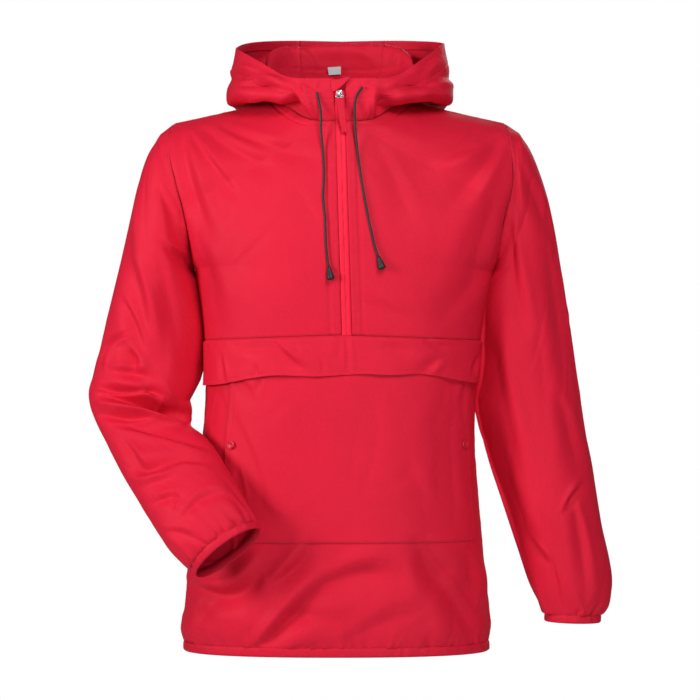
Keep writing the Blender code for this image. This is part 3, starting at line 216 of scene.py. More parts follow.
# ---------------------------------------------------------------- curves and surfaces
def spline(knots, values, at):
    """Smooth curve through the values, one for each knot, read at one place or many."""
    knots = np.asarray(knots, float)
    values = np.asarray(values, float)
    at = np.asarray(at, float)
    slopes = np.gradient(values, knots, axis=0)
    low = np.clip(np.searchsorted(knots, at) - 1, 0, len(knots) - 2)
    span = knots[low + 1] - knots[low]
    t = (at - knots[low]) / span
    shape = t.shape + (1,) * (values.ndim - 1)
    t, span = t.reshape(shape), span.reshape(shape)
    return ((1 + 2 * t) * (1 - t) ** 2 * values[low] + t * (1 - t) ** 2 * span * slopes[low]
            + t * t * (3 - 2 * t) * values[low + 1] + t * t * (t - 1) * span * slopes[low + 1])


def unit(vectors):
    """Vectors at length one."""
    return vectors / np.maximum(np.linalg.norm(vectors, axis=-1, keepdims=True), 1e-12)


def zip_middle(z):
    """x of the zip's middle line, which leans a little as the garment is worn."""
    return np.interp(z, [YOKE_CENTRE_Z, 0.02], [0.008, -0.002])


def row_points(centre, side, square, turns):
    """Points of a row that bends from the centre line (turn 0) round to the side line (turn 1)."""
    angle = np.abs(turns) * math.pi / 2
    across = np.sin(angle) ** (2 / square)
    back = 1 - np.maximum(np.cos(angle), 0.0) ** (2 / square)
    share = np.stack([across, back, across], axis=-1)
    return np.asarray(centre) + (np.asarray(side) - np.asarray(centre)) * share


def body_row(z, drop, turns, front):
    """Row of the body below the armpits; turns run from -1 (left seam) to 1 (right seam)."""
    left, right, front_y, back_y, square = spline([b.z for b in BODY], [b[1:] for b in BODY], z)
    centre = ((left + right) / 2, front_y if front else back_y, z)
    turns = np.asarray(turns, float)
    to_left = row_points(centre, (left, 0.0, z - drop), square, turns)
    to_right = row_points(centre, (right, 0.0, z - drop), square, turns)
    return np.where(turns[:, None] > 0, to_right, to_left)


def armhole_point(at, right, front):
    """Points of the armhole's edge, from the armpit (0) to the tip of the shoulder (1)."""
    row = spline([a.at for a in ARMHOLE], [a[1:] for a in ARMHOLE], at)
    picks = [2 if right else 1, 3 if front else 4, 0]
    return row[..., picks]


def edge_point(table, at, right, aside):
    """Point of a chest or back edge; aside keeps it clear of the zip's middle line."""
    first, second = [e for e in table if e.beside], [e for e in table if not e.beside]
    part = first if first and at <= first[-1].at else second
    if part is second and first:
        part = first[-1:] + second
    x, y, z = spline([e.at for e in part], [e[2:] for e in part], at)
    sign = 1 if right else -1
    if part is first:
        return np.array([zip_middle(z) + sign * aside, y, z])
    lean = zip_middle(z) if first else 0.0
    return np.array([sign * max(x, aside) + lean * max(0.0, 1 - x / 0.03), y, z])


def chest_surface(right, rows, columns, aside=TAPE_HALF + SEAM_GAP):
    """Half of the upper front: rows from the zip or neckline to the side seam or armhole."""
    turns = np.linspace(0, 1, columns)
    grid = []
    for at in np.linspace(0, 1, rows):
        centre = edge_point(FRONT_EDGE, at, right, aside)
        if at < BODY_AT:
            z = YOKE_SIDE_Z + (ARMPIT_Z - YOKE_SIDE_Z) * at / BODY_AT
            side = body_row(z, 0.0, [1.0 if right else -1.0], True)[0]
        else:
            side = armhole_point((at - BODY_AT) / (1 - BODY_AT), right, True)
        square = spline([s[0] for s in SQUARE_CHEST], [s[1] for s in SQUARE_CHEST], at)
        grid.append(row_points(centre, side, square, turns))
    grid = np.array(grid)
    return grid if right else grid[:, ::-1]


def front_surface(lines, turns):
    """Rows of the lower front at the given heights; the drop at the sides follows the seams."""
    drops = np.interp(lines, [line.z for line in FRONT_LINES], [line.drop for line in FRONT_LINES])
    return np.array([body_row(z, drop, turns, True) for z, drop in zip(lines, drops)])


def back_surface(rows_below, rows_above, half_columns):
    """The back from hem to armpits, and its two upper halves up to neckline and shoulders."""
    turns = np.linspace(0, 1, half_columns)
    bottom = HEM_Z + BINDING_TALL
    heights = np.linspace(bottom, ARMPIT_Z, rows_below)[:-1]
    halves = []
    for right in (False, True):
        grid = [body_row(z, 0.0, turns if right else -turns, False) for z in heights]
        for at in np.linspace(0, 1, rows_above):
            centre = edge_point(BACK_EDGE, at, right, 0.0)
            centre[0] += (BODY[-1].left + BODY[-1].right) / 2 * max(0.0, 1 - at / NAPE_AT)
            square = spline([s[0] for s in SQUARE_BACK], [s[1] for s in SQUARE_BACK], at)
            grid.append(row_points(centre, armhole_point(at, right, False), square, turns))
        halves.append(np.array(grid))
    return halves


def sleeve_surface(table, right, rows, columns):
    """The sleeve from armhole to cuff, from its underarm seam round the back and the front.

    Angle 0 is the outer side, 90 the front, 180 the inner side and 270 the back.
    """
    angles = np.linspace(180, 540, columns) % 360
    turn = np.radians(angles)
    cosine, sine = np.cos(turn), np.sin(turn)
    front = angles <= 180
    hole_at = np.where(front, 1 - angles / 180, (angles - 180) / 180)
    hole = np.where(front[:, None], armhole_point(hole_at, right, True),
                    armhole_point(hole_at, right, False))
    count = len(table)
    grid = []
    for at in np.linspace(0, count, rows):
        ring = Ring(*spline(np.arange(1, count + 1), table, max(at, 1.0)))
        square = np.where(cosine > 0, 2.0, ring.square)
        reach = np.sign(cosine) * np.abs(cosine) ** (2 / square)
        bulge = np.sign(sine) * np.abs(sine) ** (2 / square)
        outer, inner = np.array([ring.outer_x, ring.outer_z]), np.array([ring.inner_x, ring.inner_z])
        middle, half = (outer + inner) / 2, (outer - inner) / 2
        aside = unit(np.array([half[1], -half[0]]))
        bow = (SLEEVE_BOW_RIGHT if right else SLEEVE_BOW_LEFT) * max(0.0, 1 - at / 7) ** 2
        aside *= math.copysign(bow, aside[0] * ring.outer_x)
        flat = middle + half * reach[:, None] + aside * (1 - reach[:, None] ** 2)
        y = ring.middle - bulge * np.where(sine > 0, ring.front, ring.back)
        if not right:
            down = unit(np.array([half[1], -half[0]]))
            turned = max(0.0, (at / count - TILT_FROM) / (1 - TILT_FROM)) ** TILT_POWER
            lower = CUFF_TILT_LEFT * turned * (y - ring.middle)
            flat += down * math.copysign(1.0, -down[1]) * lower[:, None]
        points = np.stack([flat[:, 0], y, flat[:, 1]], axis=-1)
        grid.append(hole + (points - hole) * min(at, 1.0))
    return np.array(grid)


def hood_profile(angle, ats, left):
    """Points of the hood's section at one angle, from the neck seam (0) to the rim (1)."""
    angles = [section.angle for section in HOOD]
    profile = np.array([spline(angles, [section[k] for section in HOOD], angle) for k in range(1, 6)])
    steps = np.linalg.norm(np.diff(profile, axis=0), axis=1) ** 0.5
    lengths = np.concatenate([[0], np.cumsum(steps)])
    points = spline(lengths / lengths[-1], profile, ats)
    if left:
        points[:, 0] *= -(1.0 + 0.02 * math.sin(math.radians(angle)))
    sag = (0.0095 if left else 0.0028) * math.exp(-((angle - 104) / 24) ** 2)
    points[:, 2] -= sag * np.clip((np.asarray(ats) - 0.55) / 0.45, 0, 1)
    return points


def hood_surface(left, rows, columns, start, end, aside=0.0):
    """The hood between two seams, each given by its angle at the neck and from halfway up."""
    ats = np.linspace(0, 1, rows)
    table = np.array([hood_profile(angle, ats, left) for angle in range(181)])
    grid = np.zeros((rows, columns, 3))
    for i, at in enumerate(ats):
        share = min(1.0, at / 0.5)
        low = start[0] + (start[1] - start[0]) * share
        high = end[0] + (end[1] - end[0]) * share
        marks = np.linspace(low, high, columns)
        for axis in range(3):
            grid[i, :, axis] = np.interp(marks, np.arange(181), table[:, i, axis])
    if aside:
        sign = -1 if left else 1
        fade = np.maximum(0.0, 1 - np.abs(grid[..., 0]) / 0.03)
        grid[..., 0] = sign * np.maximum(np.abs(grid[..., 0]), aside) + zip_middle(grid[..., 2]) * fade
    return grid


def zip_path(count):
    """Middle of the zip from the yoke seam up the chest and the collar to the zip's top."""
    chest = [edge_point(FRONT_EDGE, at, True, 0.0) for at in np.linspace(0.0, THROAT_AT, count)]
    collar = hood_profile(0.0, np.linspace(0, 1, 60), False)
    heights = np.linspace(chest[-1][2], ZIP_TOP_Z, max(4, count // 6))[1:]
    depths = np.interp(heights, collar[:, 2], collar[:, 1])
    top = [np.array([zip_middle(z), y, z]) for z, y in zip(heights, depths)]
    return np.array(chest + top)


# ---------------------------------------------------------------- cloth grids
# Distances from a cut edge at which each grid has a line, for the roll and the topstitching.
EDGE_MARKS = np.array([0.0, 0.0007, 0.0016, 0.0026, 0.0043, 0.006, 0.0078])
# Distances of the rows of stitches from a seam.
NEAR_ROW, SIDE_ROW, MID_ROW, FAR_ROW, POCKET_ROW, CASING_ROW = EDGE_MARKS[2:].tolist() + [0.027]
ROLL_DEPTH, ROLL_WIDTH = 0.0011, 0.0015
GROOVE_DEPTH, GROOVE_WIDTH = 0.00035, 0.0011
SIDES = ("left", "right", "bottom", "top")


def lengths_along(grid, axis):
    """Metres over the cloth from the grid's first row or column."""
    steps = np.linalg.norm(np.diff(grid, axis=axis), axis=2)
    return np.insert(np.cumsum(steps, axis=axis), 0, 0.0, axis=axis)


def respaced(grid, pitch):
    """The grid with its columns evenly spaced by length, and a few more lines near both edges."""
    lengths = lengths_along(grid, 1)
    count = max(4, int(round(lengths[:, -1].max() / pitch)))
    rows = []
    for row, length in zip(grid, lengths):
        total = length[-1]
        near = EDGE_MARKS * min(1.0, total / (4 * EDGE_MARKS[-1]))
        inner = np.linspace(near[-1], total - near[-1], count)[1:-1]
        marks = np.concatenate([near, inner, total - near[::-1]])
        rows.append(np.stack([np.interp(marks, length, row[:, axis]) for axis in range(3)], axis=-1))
    return np.array(rows)


def fine_grid(dense, pitch):
    """A dense grid respaced both ways; rows first, so that its four edges keep their lines."""
    across = respaced(dense, pitch)
    return respaced(across.transpose(1, 0, 2), pitch).transpose(1, 0, 2)


def normals_of(grid, sign, closed=False):
    """Unit normals of the grid; sign 1 where columns x rows points out of the garment."""
    if closed:
        across = np.roll(grid, -1, axis=1) - np.roll(grid, 1, axis=1)
        across[:, 0] = across[:, -1] = grid[:, 1] - grid[:, -2]
    else:
        across = np.gradient(grid, axis=1)
    return unit(np.cross(across, np.gradient(grid, axis=0)) * sign)


class Cloth:
    """A panel of cloth while it is being shaped: its grid, its normals and places on it."""

    def __init__(self, grid, sign, closed=False):
        self.flat = grid
        self.grid = grid
        self.sign = sign
        self.closed = closed
        self.normals = normals_of(grid, sign, closed)
        self.u = lengths_along(grid, 1)
        self.v = lengths_along(grid, 0)
        self.seen = grid[..., [0, 2]]
        self.cloth = np.stack([self.u, self.v], axis=-1)

    def edge(self, side):
        """Metres along one of the four edges, and metres away from it, for every point."""
        if side == "left":
            return np.broadcast_to(self.v[:, :1], self.u.shape), self.u
        if side == "right":
            return np.broadcast_to(self.v[:, -1:], self.u.shape), self.u[:, -1:] - self.u
        if side == "bottom":
            return np.broadcast_to(self.u[:1], self.v.shape), self.v
        return np.broadcast_to(self.u[-1:], self.v.shape), self.v[-1:] - self.v

    def push(self, depth, settle=True):
        """Moves the cloth in by the depth at each point."""
        self.grid = self.grid - self.normals * depth[..., None]
        if settle:
            self.settle()

    def settle(self):
        """Takes the shaped grid's own normals."""
        self.normals = normals_of(self.grid, self.sign, self.closed)

    def line(self, side, inset, lift=0.0002, span=(0.0, 1.0)):
        """Points at one distance from an edge, lifted off the cloth, for a row of stitches."""
        away = self.edge(side)[1]
        raised = self.grid + self.normals * lift
        if side in ("bottom", "top"):
            away, raised = away.T, raised.transpose(1, 0, 2)
        if side in ("right", "top"):
            away, raised = away[:, ::-1], raised[:, ::-1]
        line = np.array([[np.interp(inset, row, points[:, axis]) for axis in range(3)]
                         for row, points in zip(away, raised)])
        first, last = (int(round(share * (len(line) - 1))) for share in span)
        return line[first:last + 1]

    def lines(self, *rows):
        """The lines for several rows of stitches, each by its edge and its distance from it."""
        return [self.line(side, inset) for side, inset in rows]


# ---------------------------------------------------------------- folds in the cloth
# A soft fold from one point to another: a trough, and a ridge on its left as it runs. Bend bows
# it to the left, ridge is the ridge's height as a share of the depth, and lap makes the side of
# the ridge steeper and the other side softer.
Fold = namedtuple("Fold", "x0 z0 x1 z1 bend width depth ridge lap", defaults=(0.35,))
SHARES = ("ridge", "lap")


def fold_depths(folds, places):
    """How far the folds push each place in."""
    total = np.zeros(places.shape[:-1])
    for fold in folds:
        start = np.array([fold.x0, fold.z0])
        run = np.array([fold.x1, fold.z1]) - start
        length = np.linalg.norm(run)
        run = run / length
        offset = places - start
        along = offset @ run / length
        share = np.clip(along, 0, 1)
        aside = offset @ np.array([-run[1], run[0]]) - fold.bend * 4 * share * (1 - share)
        over = (along - share) * length / fold.width
        away = aside / (fold.width * (0.75 + 0.5 * share))
        away = away * np.where(away > 0, 1 + fold.lap, 1 - 0.5 * fold.lap)
        ends = np.sin(math.pi * (0.1 + 0.8 * share)) * np.exp(-over ** 2)
        trough = np.exp(-np.abs(away) ** 1.7)
        ridges = fold.ridge * np.exp(-np.abs(away - 1.7) ** 1.7) + 0.2 * np.exp(-(away + 1.8) ** 2)
        total += fold.depth * ends * (trough - ridges)
    return total


def scattered(seed, count, size, angle, spread, length, width, depth):
    """Small folds at random places of a panel of that width and height, in cloth metres."""
    rng = np.random.default_rng(seed)
    folds = []
    for _ in range(count):
        x, z = rng.uniform(0, size[0]), rng.uniform(0, size[1])
        turn = math.radians(rng.normal(angle, spread))
        long = length * rng.uniform(0.5, 1.7)
        folds.append(Fold(x, z, x + long * math.cos(turn), z + long * math.sin(turn),
                          long * rng.normal(0, 0.08), width * rng.uniform(0.6, 1.5),
                          depth * rng.uniform(0.2, 1.0) * rng.choice([-1, 1]),
                          rng.uniform(0.3, 0.8)))
    return folds


def puckers(seed, edge, spacing, reach, depth, lean=0.25):
    """Short uneven tucks that leave a seam."""
    along, away = edge
    rng = np.random.default_rng(seed)
    total = np.zeros(along.shape)
    place = 0.0
    while place < along.max():
        place += spacing * rng.uniform(0.45, 1.7)
        tall = reach * rng.uniform(0.4, 1.6)
        width = spacing * rng.uniform(0.15, 0.28) * (1 + 0.9 * away / reach)
        across = (along - place - rng.normal(0, lean) * away) / width
        high = depth * rng.uniform(0.3, 1.0) * rng.choice([-0.8, 1.0])
        total += high * np.exp(-across ** 2 - away / tall) * (1 - np.exp(-away / 0.0014))
    return total


def tucked(cloth, seed, *rows):
    """Puckers along edges: each row is an edge, spacing, reach and depth, with the next seed."""
    return sum(puckers(seed + k, cloth.edge(side), *sizes) for k, (side, *sizes) in enumerate(rows))


def rolled(cloth, sides=SIDES):
    """The cloth turning in at its sewn edges."""
    return sum(ROLL_DEPTH * np.exp(-(cloth.edge(side)[1] / ROLL_WIDTH) ** 2) for side in sides)


def grooved(cloth, *rows):
    """The shallow channels that rows of stitches pull into the cloth."""
    return sum(GROOVE_DEPTH * np.exp(-((cloth.edge(side)[1] - inset) / GROOVE_WIDTH) ** 2)
               for side, inset in rows)


# ---------------------------------------------------------------- meshes
def mesh_object(name, points, faces, material, uvs=None):
    """A smooth mesh object with its place in its mesh, and its UVs in metres where given."""
    mesh = bpy.data.meshes.new(name)
    mesh.from_pydata([tuple(point) for point in points], [], faces)
    mesh.materials.append(material)
    mesh.polygons.foreach_set("use_smooth", [True] * len(mesh.polygons))
    if uvs is not None:
        loops = np.zeros(len(mesh.loops), int)
        mesh.loops.foreach_get("vertex_index", loops)
        layer = mesh.uv_layers.new(name="UVMap")
        layer.data.foreach_set("uv", np.asarray(uvs)[loops].ravel())
    mesh.update()
    result = bpy.data.objects.new(name, mesh)
    bpy.context.scene.collection.objects.link(result)
    return result


@contextmanager
def edited(mesh):
    """The mesh opened for editing, and written back at the end."""
    bm = bmesh.new()
    bm.from_mesh(mesh)
    yield bm
    bm.to_mesh(mesh)
    bm.free()


def grid_faces(rows, columns, flip=False, first=0):
    """Quads of a grid of points, wound so that they face out."""
    faces = []
    for i in range(rows - 1):
        for j in range(columns - 1):
            corner = first + i * columns + j
            quad = (corner, corner + 1, corner + columns + 1, corner + columns)
            faces.append(quad[::-1] if flip else quad)
    return faces


def cloth_object(name, cloths, material):
    """One object from one or more shaped panels, welded where their edges meet."""
    points, uvs, faces = [], [], []
    for cloth in cloths:
        rows, columns = cloth.grid.shape[:2]
        faces += grid_faces(rows, columns, cloth.sign < 0, len(points))
        points += list(cloth.grid.reshape(-1, 3))
        uvs += list(np.stack([cloth.u, cloth.v], axis=-1).reshape(-1, 2))
    result = mesh_object(name, points, faces, material, uvs)
    with edited(result.data) as bm:
        bmesh.ops.remove_doubles(bm, verts=bm.verts, dist=CLOTH_WELD)
    return result


def turned_in(cloth, side, allowance, thick):
    """Adds a hem to an edge: the cloth rolls round it and lies back behind itself."""
    order = {"top": (0, 1), "bottom": (0, -1), "right": (1, 1), "left": (1, -1)}[side]
    grid, normals, u, v = cloth.grid, cloth.normals, cloth.u, cloth.v
    if order[0]:
        grid, normals = grid.transpose(1, 0, 2), normals.transpose(1, 0, 2)
        u, v = v.T, u.T
    if order[1] < 0:
        grid, normals, u, v = grid[::-1], normals[::-1], u[::-1], v[::-1]
    away = np.linalg.norm(grid[::-1] - grid[-1], axis=2).mean(axis=1)
    out = unit(grid[-1] - grid[-3])
    rows, places = [], []
    ease = thick / 2
    for turn in np.radians((40, 90, 140)):
        rows.append(grid[-1] + out * ease * math.sin(turn) - normals[-1] * ease * (1 - math.cos(turn)))
        places.append(v[-1] + (v[-1] - v[-2]) * 0.2 * (len(places) + 1))
    for back in np.linspace(0.0, allowance, 5):
        k = len(grid) - 1 - int(np.argmin(np.abs(away - back)))
        rows.append(grid[k] - normals[k] * thick)
        places.append(v[-1] + (v[-1] - v[k]) + (v[-1] - v[-2]))
    grid, normals = np.concatenate([grid, rows]), np.concatenate([normals, [normals[-1]] * len(rows)])
    u, v = np.concatenate([u, [u[-1]] * len(rows)]), np.concatenate([v, places])
    if order[1] < 0:
        grid, normals, u, v = grid[::-1], normals[::-1], u[::-1], v[::-1]
    if order[0]:
        grid, normals = grid.transpose(1, 0, 2), normals.transpose(1, 0, 2)
        u, v = v.T, u.T
    cloth.grid, cloth.normals, cloth.u, cloth.v = grid, normals, u, v


# ---------------------------------------------------------------- where the folds lie
FRONT_FOLDS = table(Fold, [
    (178, -70, 178, -250, 0, 44, -9, 0), (-209.9, -52.5, -173.8, -181.6, -4, 11.5, 6.2, 0.5),
    (-197, -50, -138.9, -130, 0, 6.3, 4.1, 0.5), (-176.4, -44.8, -93.8, -95.1, -3, 9.8, 6.2, 0.5),
    (-151.8, -42.2, -24.1, -87.4, -3, 9.2, 4.3, 0.4),
    (-186.7, -190.6, -163.5, -291.2, 3, 13.8, 4.3, 0.4),
    (-57.7, -126.1, -24.1, -184.1, 2, 10.3, 2.2, 0.4), (205.5, -61.6, 143.6, -139, 4, 12.6, 5.1, 0.5),
    (197.8, -51.3, 115.2, -84.8, 4, 10.3, 4.1, 0.5),
    (195.2, -145.4, 166.8, -255.1, -4, 12.6, 4.7, 0.5),
    (187.5, -219, 128.1, -291.2, 4, 12.6, 3.2, 0.4), (50.7, -74.5, 92, -171.2, 3, 12.6, 1.9, 0.4),
    (24.9, -268, 102.3, -296.4, 0, 10.3, 1.9, 0.4),
    (-190.5, -642.1, -101.5, -617.6, -20, 13.1, 13.4, 0.6),
    (-101.5, -719.5, -13.8, -633.1, 3, 13.1, 12.3, 0.7),
    (-13.8, -633.1, 68.8, -622.8, 6, 16.6, 8.8, 0.5), (-88.6, -637, -35.7, -589.2, -3, 11, 8.2, 0.7),
    (102.3, -589.2, 141, -643.4, -4, 13.1, 10.8, -0.5),
    (133.3, -631.8, 182.3, -709.2, 2, 15.2, 11.7, -0.5),
    (-62.8, -674.4, 1.7, -683.4, 0, 13.8, 4.6, 0.4), (12, -706.6, 102.3, -670.5, 3, 16.6, 4.1, 0.4),
    (-186.7, -691.1, -163.5, -655, 2, 9.7, 5.1, 0.5), (166.8, -603.4, 177.1, -655, 2, 9.7, 6.2, 0.5),
], SHARES)
FLAP_FOLDS = table(Fold, [
    (-139.8, -323.5, -83.2, -327.4, 0, 7.7, 3.6, 0.4),
    (-85.8, -324.8, -47.2, -359.5, -2, 7.2, 5.5, 0.6),
    (-152.7, -340.2, -147.6, -372.4, 0, 3.3, 2.6, 0.7), (-106.4, -350.5, -105.1, -366, 0, 3.1, 2, 0.7),
    (-60.1, -317.1, -52.3, -335.1, 0, 3.1, 1.6, 0.6), (-49.8, -315.8, -39.5, -329.9, 0, 3.1, 1.6, 0.6),
    (8.1, -313.2, 9.4, -360.8, 0, 4.4, 2, 0.8), (0.4, -314.5, -2.2, -347.9, 0, 3.9, 1.6, 0.8),
    (-24, -345.4, -18.9, -360.8, 0, 3.3, 2, 0.7), (112.4, -320.9, 135.5, -329.9, 0, 5, 3.6, 0.6),
    (127.8, -342.8, 102.1, -359.5, 0, 6.6, 2.9, 0.5), (176.7, -341.5, 166.4, -366, 0, 3.9, 2.9, 0.7),
    (50.6, -327.4, 94.4, -340.2, 3, 8.8, 2.6, 0.5),
], SHARES)
POCKET_FOLDS = table(Fold, [
    (-145, -360.8, -114.1, -396.8, 2, 7.7, 3, 0.5), (-101.2, -371.1, -106.4, -386.5, 0, 3.9, 2.1, 0.6),
    (-139.8, -422.6, -101.2, -551.3, 6, 12.1, 3.4, 0.4),
    (-52.3, -396.8, -24, -499.8, 4, 17.6, 2.1, 0.4), (40.3, -386.5, 19.7, -525.5, 4, 22, 2.3, 0.4),
    (143.3, -371.1, 127.8, -448.3, 4, 12.1, 3.4, 0.5),
    (138.1, -448.3, 143.3, -564.1, -4, 13.2, 4, 0.5), (161.3, -376.3, 156.1, -422.6, 0, 5.5, 3.4, 0.6),
    (89.2, -486.9, 125.2, -577, 3, 14.3, 2.1, 0.4), (-121.8, -532, -52.3, -577, 4, 11, 2.3, 0.4),
    (-147.6, -438, -165.6, -463.8, 0, 5.5, 5.1, 0.8), (-132.1, -486.9, -125.7, -525.5, 0, 4.4, 3, 0.7),
], SHARES)
BACK_FOLDS = table(Fold, [
    (-190, -150, -80, -260, 6, 13, 5.2, 0.5), (190, -145, 85, -250, -6, 13, 5.2, 0.5),
    (-205, -70, -150, -190, 4, 9, 3.9, 0.5), (206, -70, 156, -180, -4, 9, 3.9, 0.5),
    (-165, -55, -60, -95, 3, 9, 3.1, 0.5), (160, -52, 70, -90, 3, 9, 2.6, 0.5),
    (-170, -420, 10, -470, 10, 15, 5.2, 0.5), (170, -520, -40, -560, -10, 15, 5.2, 0.5),
    (-160, -640, -40, -590, 5, 11, 5.7, 0.6), (60, -620, 165, -680, 5, 11, 5.7, 0.6),
    (-40, -700, 50, -650, 4, 10, 3.9, 0.6), (20, -130, 10, -320, 8, 18, 2.6, 0.4),
    (-70, -300, -90, -400, 5, 13, 2.3, 0.4), (110, -320, 90, -440, 5, 13, 2.6, 0.4),
], SHARES)
LEFT_SLEEVE_FOLDS = table(Fold, [
    (-247.4, -57.4, -215.9, -117.7, 3, 6, 2, 0.5), (-276.2, -122.9, -277.5, -217.2, -4, 11, 3.2, 0.6),
    (-277.5, -209.4, -255.3, -325.9, 4, 11, 3.4, 0.6),
    (-236.9, -122.9, -213.3, -183.2, 3, 6, 2.2, 0.6),
    (-233, -193.6, -189.7, -221.1, -3, 6.5, 3.4, 0.7), (-209.4, -157, -198.9, -191, -2, 3.5, 1.8, 0.7),
    (-231.7, -235.6, -215.9, -332.5, 3, 13, 4, 0.5), (-284.1, -267, -260.5, -335.1, 2, 6.5, 2.6, 0.6),
    (-278.8, -311.5, -314.2, -349.5, -8, 5, 3.2, 0.6), (-250, -386.2, -326, -382.3, 0, 3.5, 3.4, 0.5),
    (-229, -400.6, -255.3, -382.3, 0, 4, 3.4, 0.6), (-190, -432, -308, -391.8, -5, 8, 14.5, 0.45, 0.7),
    (-196, -418, -233, -406, 0, 14, 6, 0.1, 0.3), (-222, -399, -256, -382, -3, 5.5, 4.5, 0.6, 0.5),
    (-279.2, -331.2, -270.1, -361.1, 3, 8, 5, 0.4), (-297.4, -361.1, -248, -371.5, 3, 8, 4, 0.5),
    (-211.6, -478.1, -271.4, -485.9, 4, 7.5, 4.2, 0.5),
    (-247.4, -420.3, -318.1, -416.3, 2, 5.5, 3.6, 0.6),
    (-176.6, -457, -310.3, -421.6, -2, 7, 3.6, 0.6),
    (-177.5, -475.9, -255.5, -487.4, -8, 6.5, 2.6, 0.6),
    (-279.9, -452.8, -256.8, -486.1, 2, 6, 1.8, 0.6),
    (-238.9, -528.4, -205.6, -518.1, 2, 5.5, 2.2, 0.6),
    (-249.1, -506.6, -215.9, -496.4, 2, 6, 1.4, 0.5), (-208.2, -514.3, -213.3, -534.8, 0, 3, 1.8, 0.7),
    (-197.9, -543.7, -144.2, -514.3, 10, 7, 2.2, 0.5),
    (-223.5, -562.9, -185.1, -570.6, 2, 6, 1.4, 0.5),
], SHARES)
LEFT_SLEEVE_BACK_FOLDS = table(Fold, [
    (-240, -90, -225, -190, 4, 9, 3, 0.5), (-270, -160, -260, -280, 4, 11, 3.4, 0.5),
    (-215, -250, -230, -340, 3, 10, 3, 0.5), (-310, -370, -240, -395, 4, 8, 4, 0.6),
    (-315, -425, -240, -450, 4, 8, 3, 0.6), (-270, -470, -210, -500, 4, 8, 2.4, 0.5),
    (-240, -550, -190, -540, 4, 7, 2, 0.5),
], SHARES)
RIGHT_SLEEVE_FOLDS = table(Fold, [
    (226.8, -70.5, 234.7, -154.3, -4, 6, 2.4, 0.6), (239.9, -96.7, 271.4, -183.2, 3, 8, 2, 0.5),
    (221.6, -175.3, 239.9, -306.3, -3, 11, 3.4, 0.5), (268.8, -201.5, 295, -371.8, 3, 10, 2.6, 0.5),
    (200.6, -306.3, 232.1, -489.7, -4, 13, 3.6, 0.5), (287.1, -398, 310.7, -489.7, 4, 9, 2.4, 0.5),
    (215.1, -476.6, 253, -602.4, -3, 11, 3.2, 0.5), (293.7, -542.1, 319.9, -509.4, 2, 5.5, 2.6, 0.7),
    (250.4, -581.4, 271.4, -611.5, 0, 5, 2.4, 0.6), (302.8, -529, 321.2, -646.9, 3, 8, 2.2, 0.5),
    (255.7, -267, 267.5, -424.2, 2, 12, 1.2, 0.4), (276.6, -607.6, 287.1, -665.3, 0, 5, 1.6, 0.6),
], SHARES)
RIGHT_SLEEVE_BACK_FOLDS = table(Fold, [
    (238, -90, 230, -180, -4, 9, 3, 0.5), (265, -170, 260, -300, -4, 11, 3.4, 0.5),
    (215, -270, 240, -400, -3, 11, 3.4, 0.5), (295, -360, 270, -470, 3, 10, 3, 0.5),
    (235, -470, 290, -530, 4, 9, 2.6, 0.5), (310, -560, 275, -630, 4, 8, 2.2, 0.5),
], SHARES)

# The crest that stands inside the back of the hood, with a hollow above and the neck below.
HOOD_INSIDE_FOLDS = table(Fold, [
    (-110, 58, -69.8, 73, 2, 8, 7.5, 0.2, 0.4), (-72, 73, 107.4, 72.5, 1.5, 9, 10, 0.2, 0.4),
    (104, 73.5, 125, 62, 1, 8, 7, 0.2, 0.4), (-80, 50, 90, 50, -4, 7, -6.5, 0),
    (-60, 72, -35, 56, 2, 5, 3, 0.5), (20, 70, 45, 58, 2, 5, 2.6, 0.5),
    (80, 70, 65, 56, 2, 4.5, 3, 0.5),
], SHARES)


# ---------------------------------------------------------------- panels
def edge_fade(cloth, sides=SIDES, wide=0.007):
    """Zero on the named edges, one a little way in."""
    total = np.ones(cloth.u.shape)
    for side in sides:
        total *= 1 - np.exp(-(cloth.edge(side)[1] / wide) ** 2)
    return total


def near_cords(places):
    """One under a drawcord, falling to zero a finger's breadth away."""
    nearest = np.full(places.shape[:-1], 1.0)
    for route in (CORD_LEFT, CORD_RIGHT):
        line = route[:, [0, 2]]
        for start, end in zip(line, line[1:]):
            run = end - start
            share = np.clip((places - start) @ run / (run @ run), 0, 1)
            nearest = np.minimum(nearest, np.linalg.norm(places - start - share[..., None] * run,
                                                         axis=-1))
    return np.exp(-(nearest / 0.009) ** 2)


def small_folds(cloth, seed, count, angle, spread, length=0.035, width=0.0042, depth=0.0007):
    """The crumple left in thin cloth by wear and packing."""
    size = (cloth.cloth[..., 0].max(), cloth.cloth[..., 1].max())
    return fold_depths(scattered(seed, count, size, angle, spread, length, width, depth), cloth.cloth)


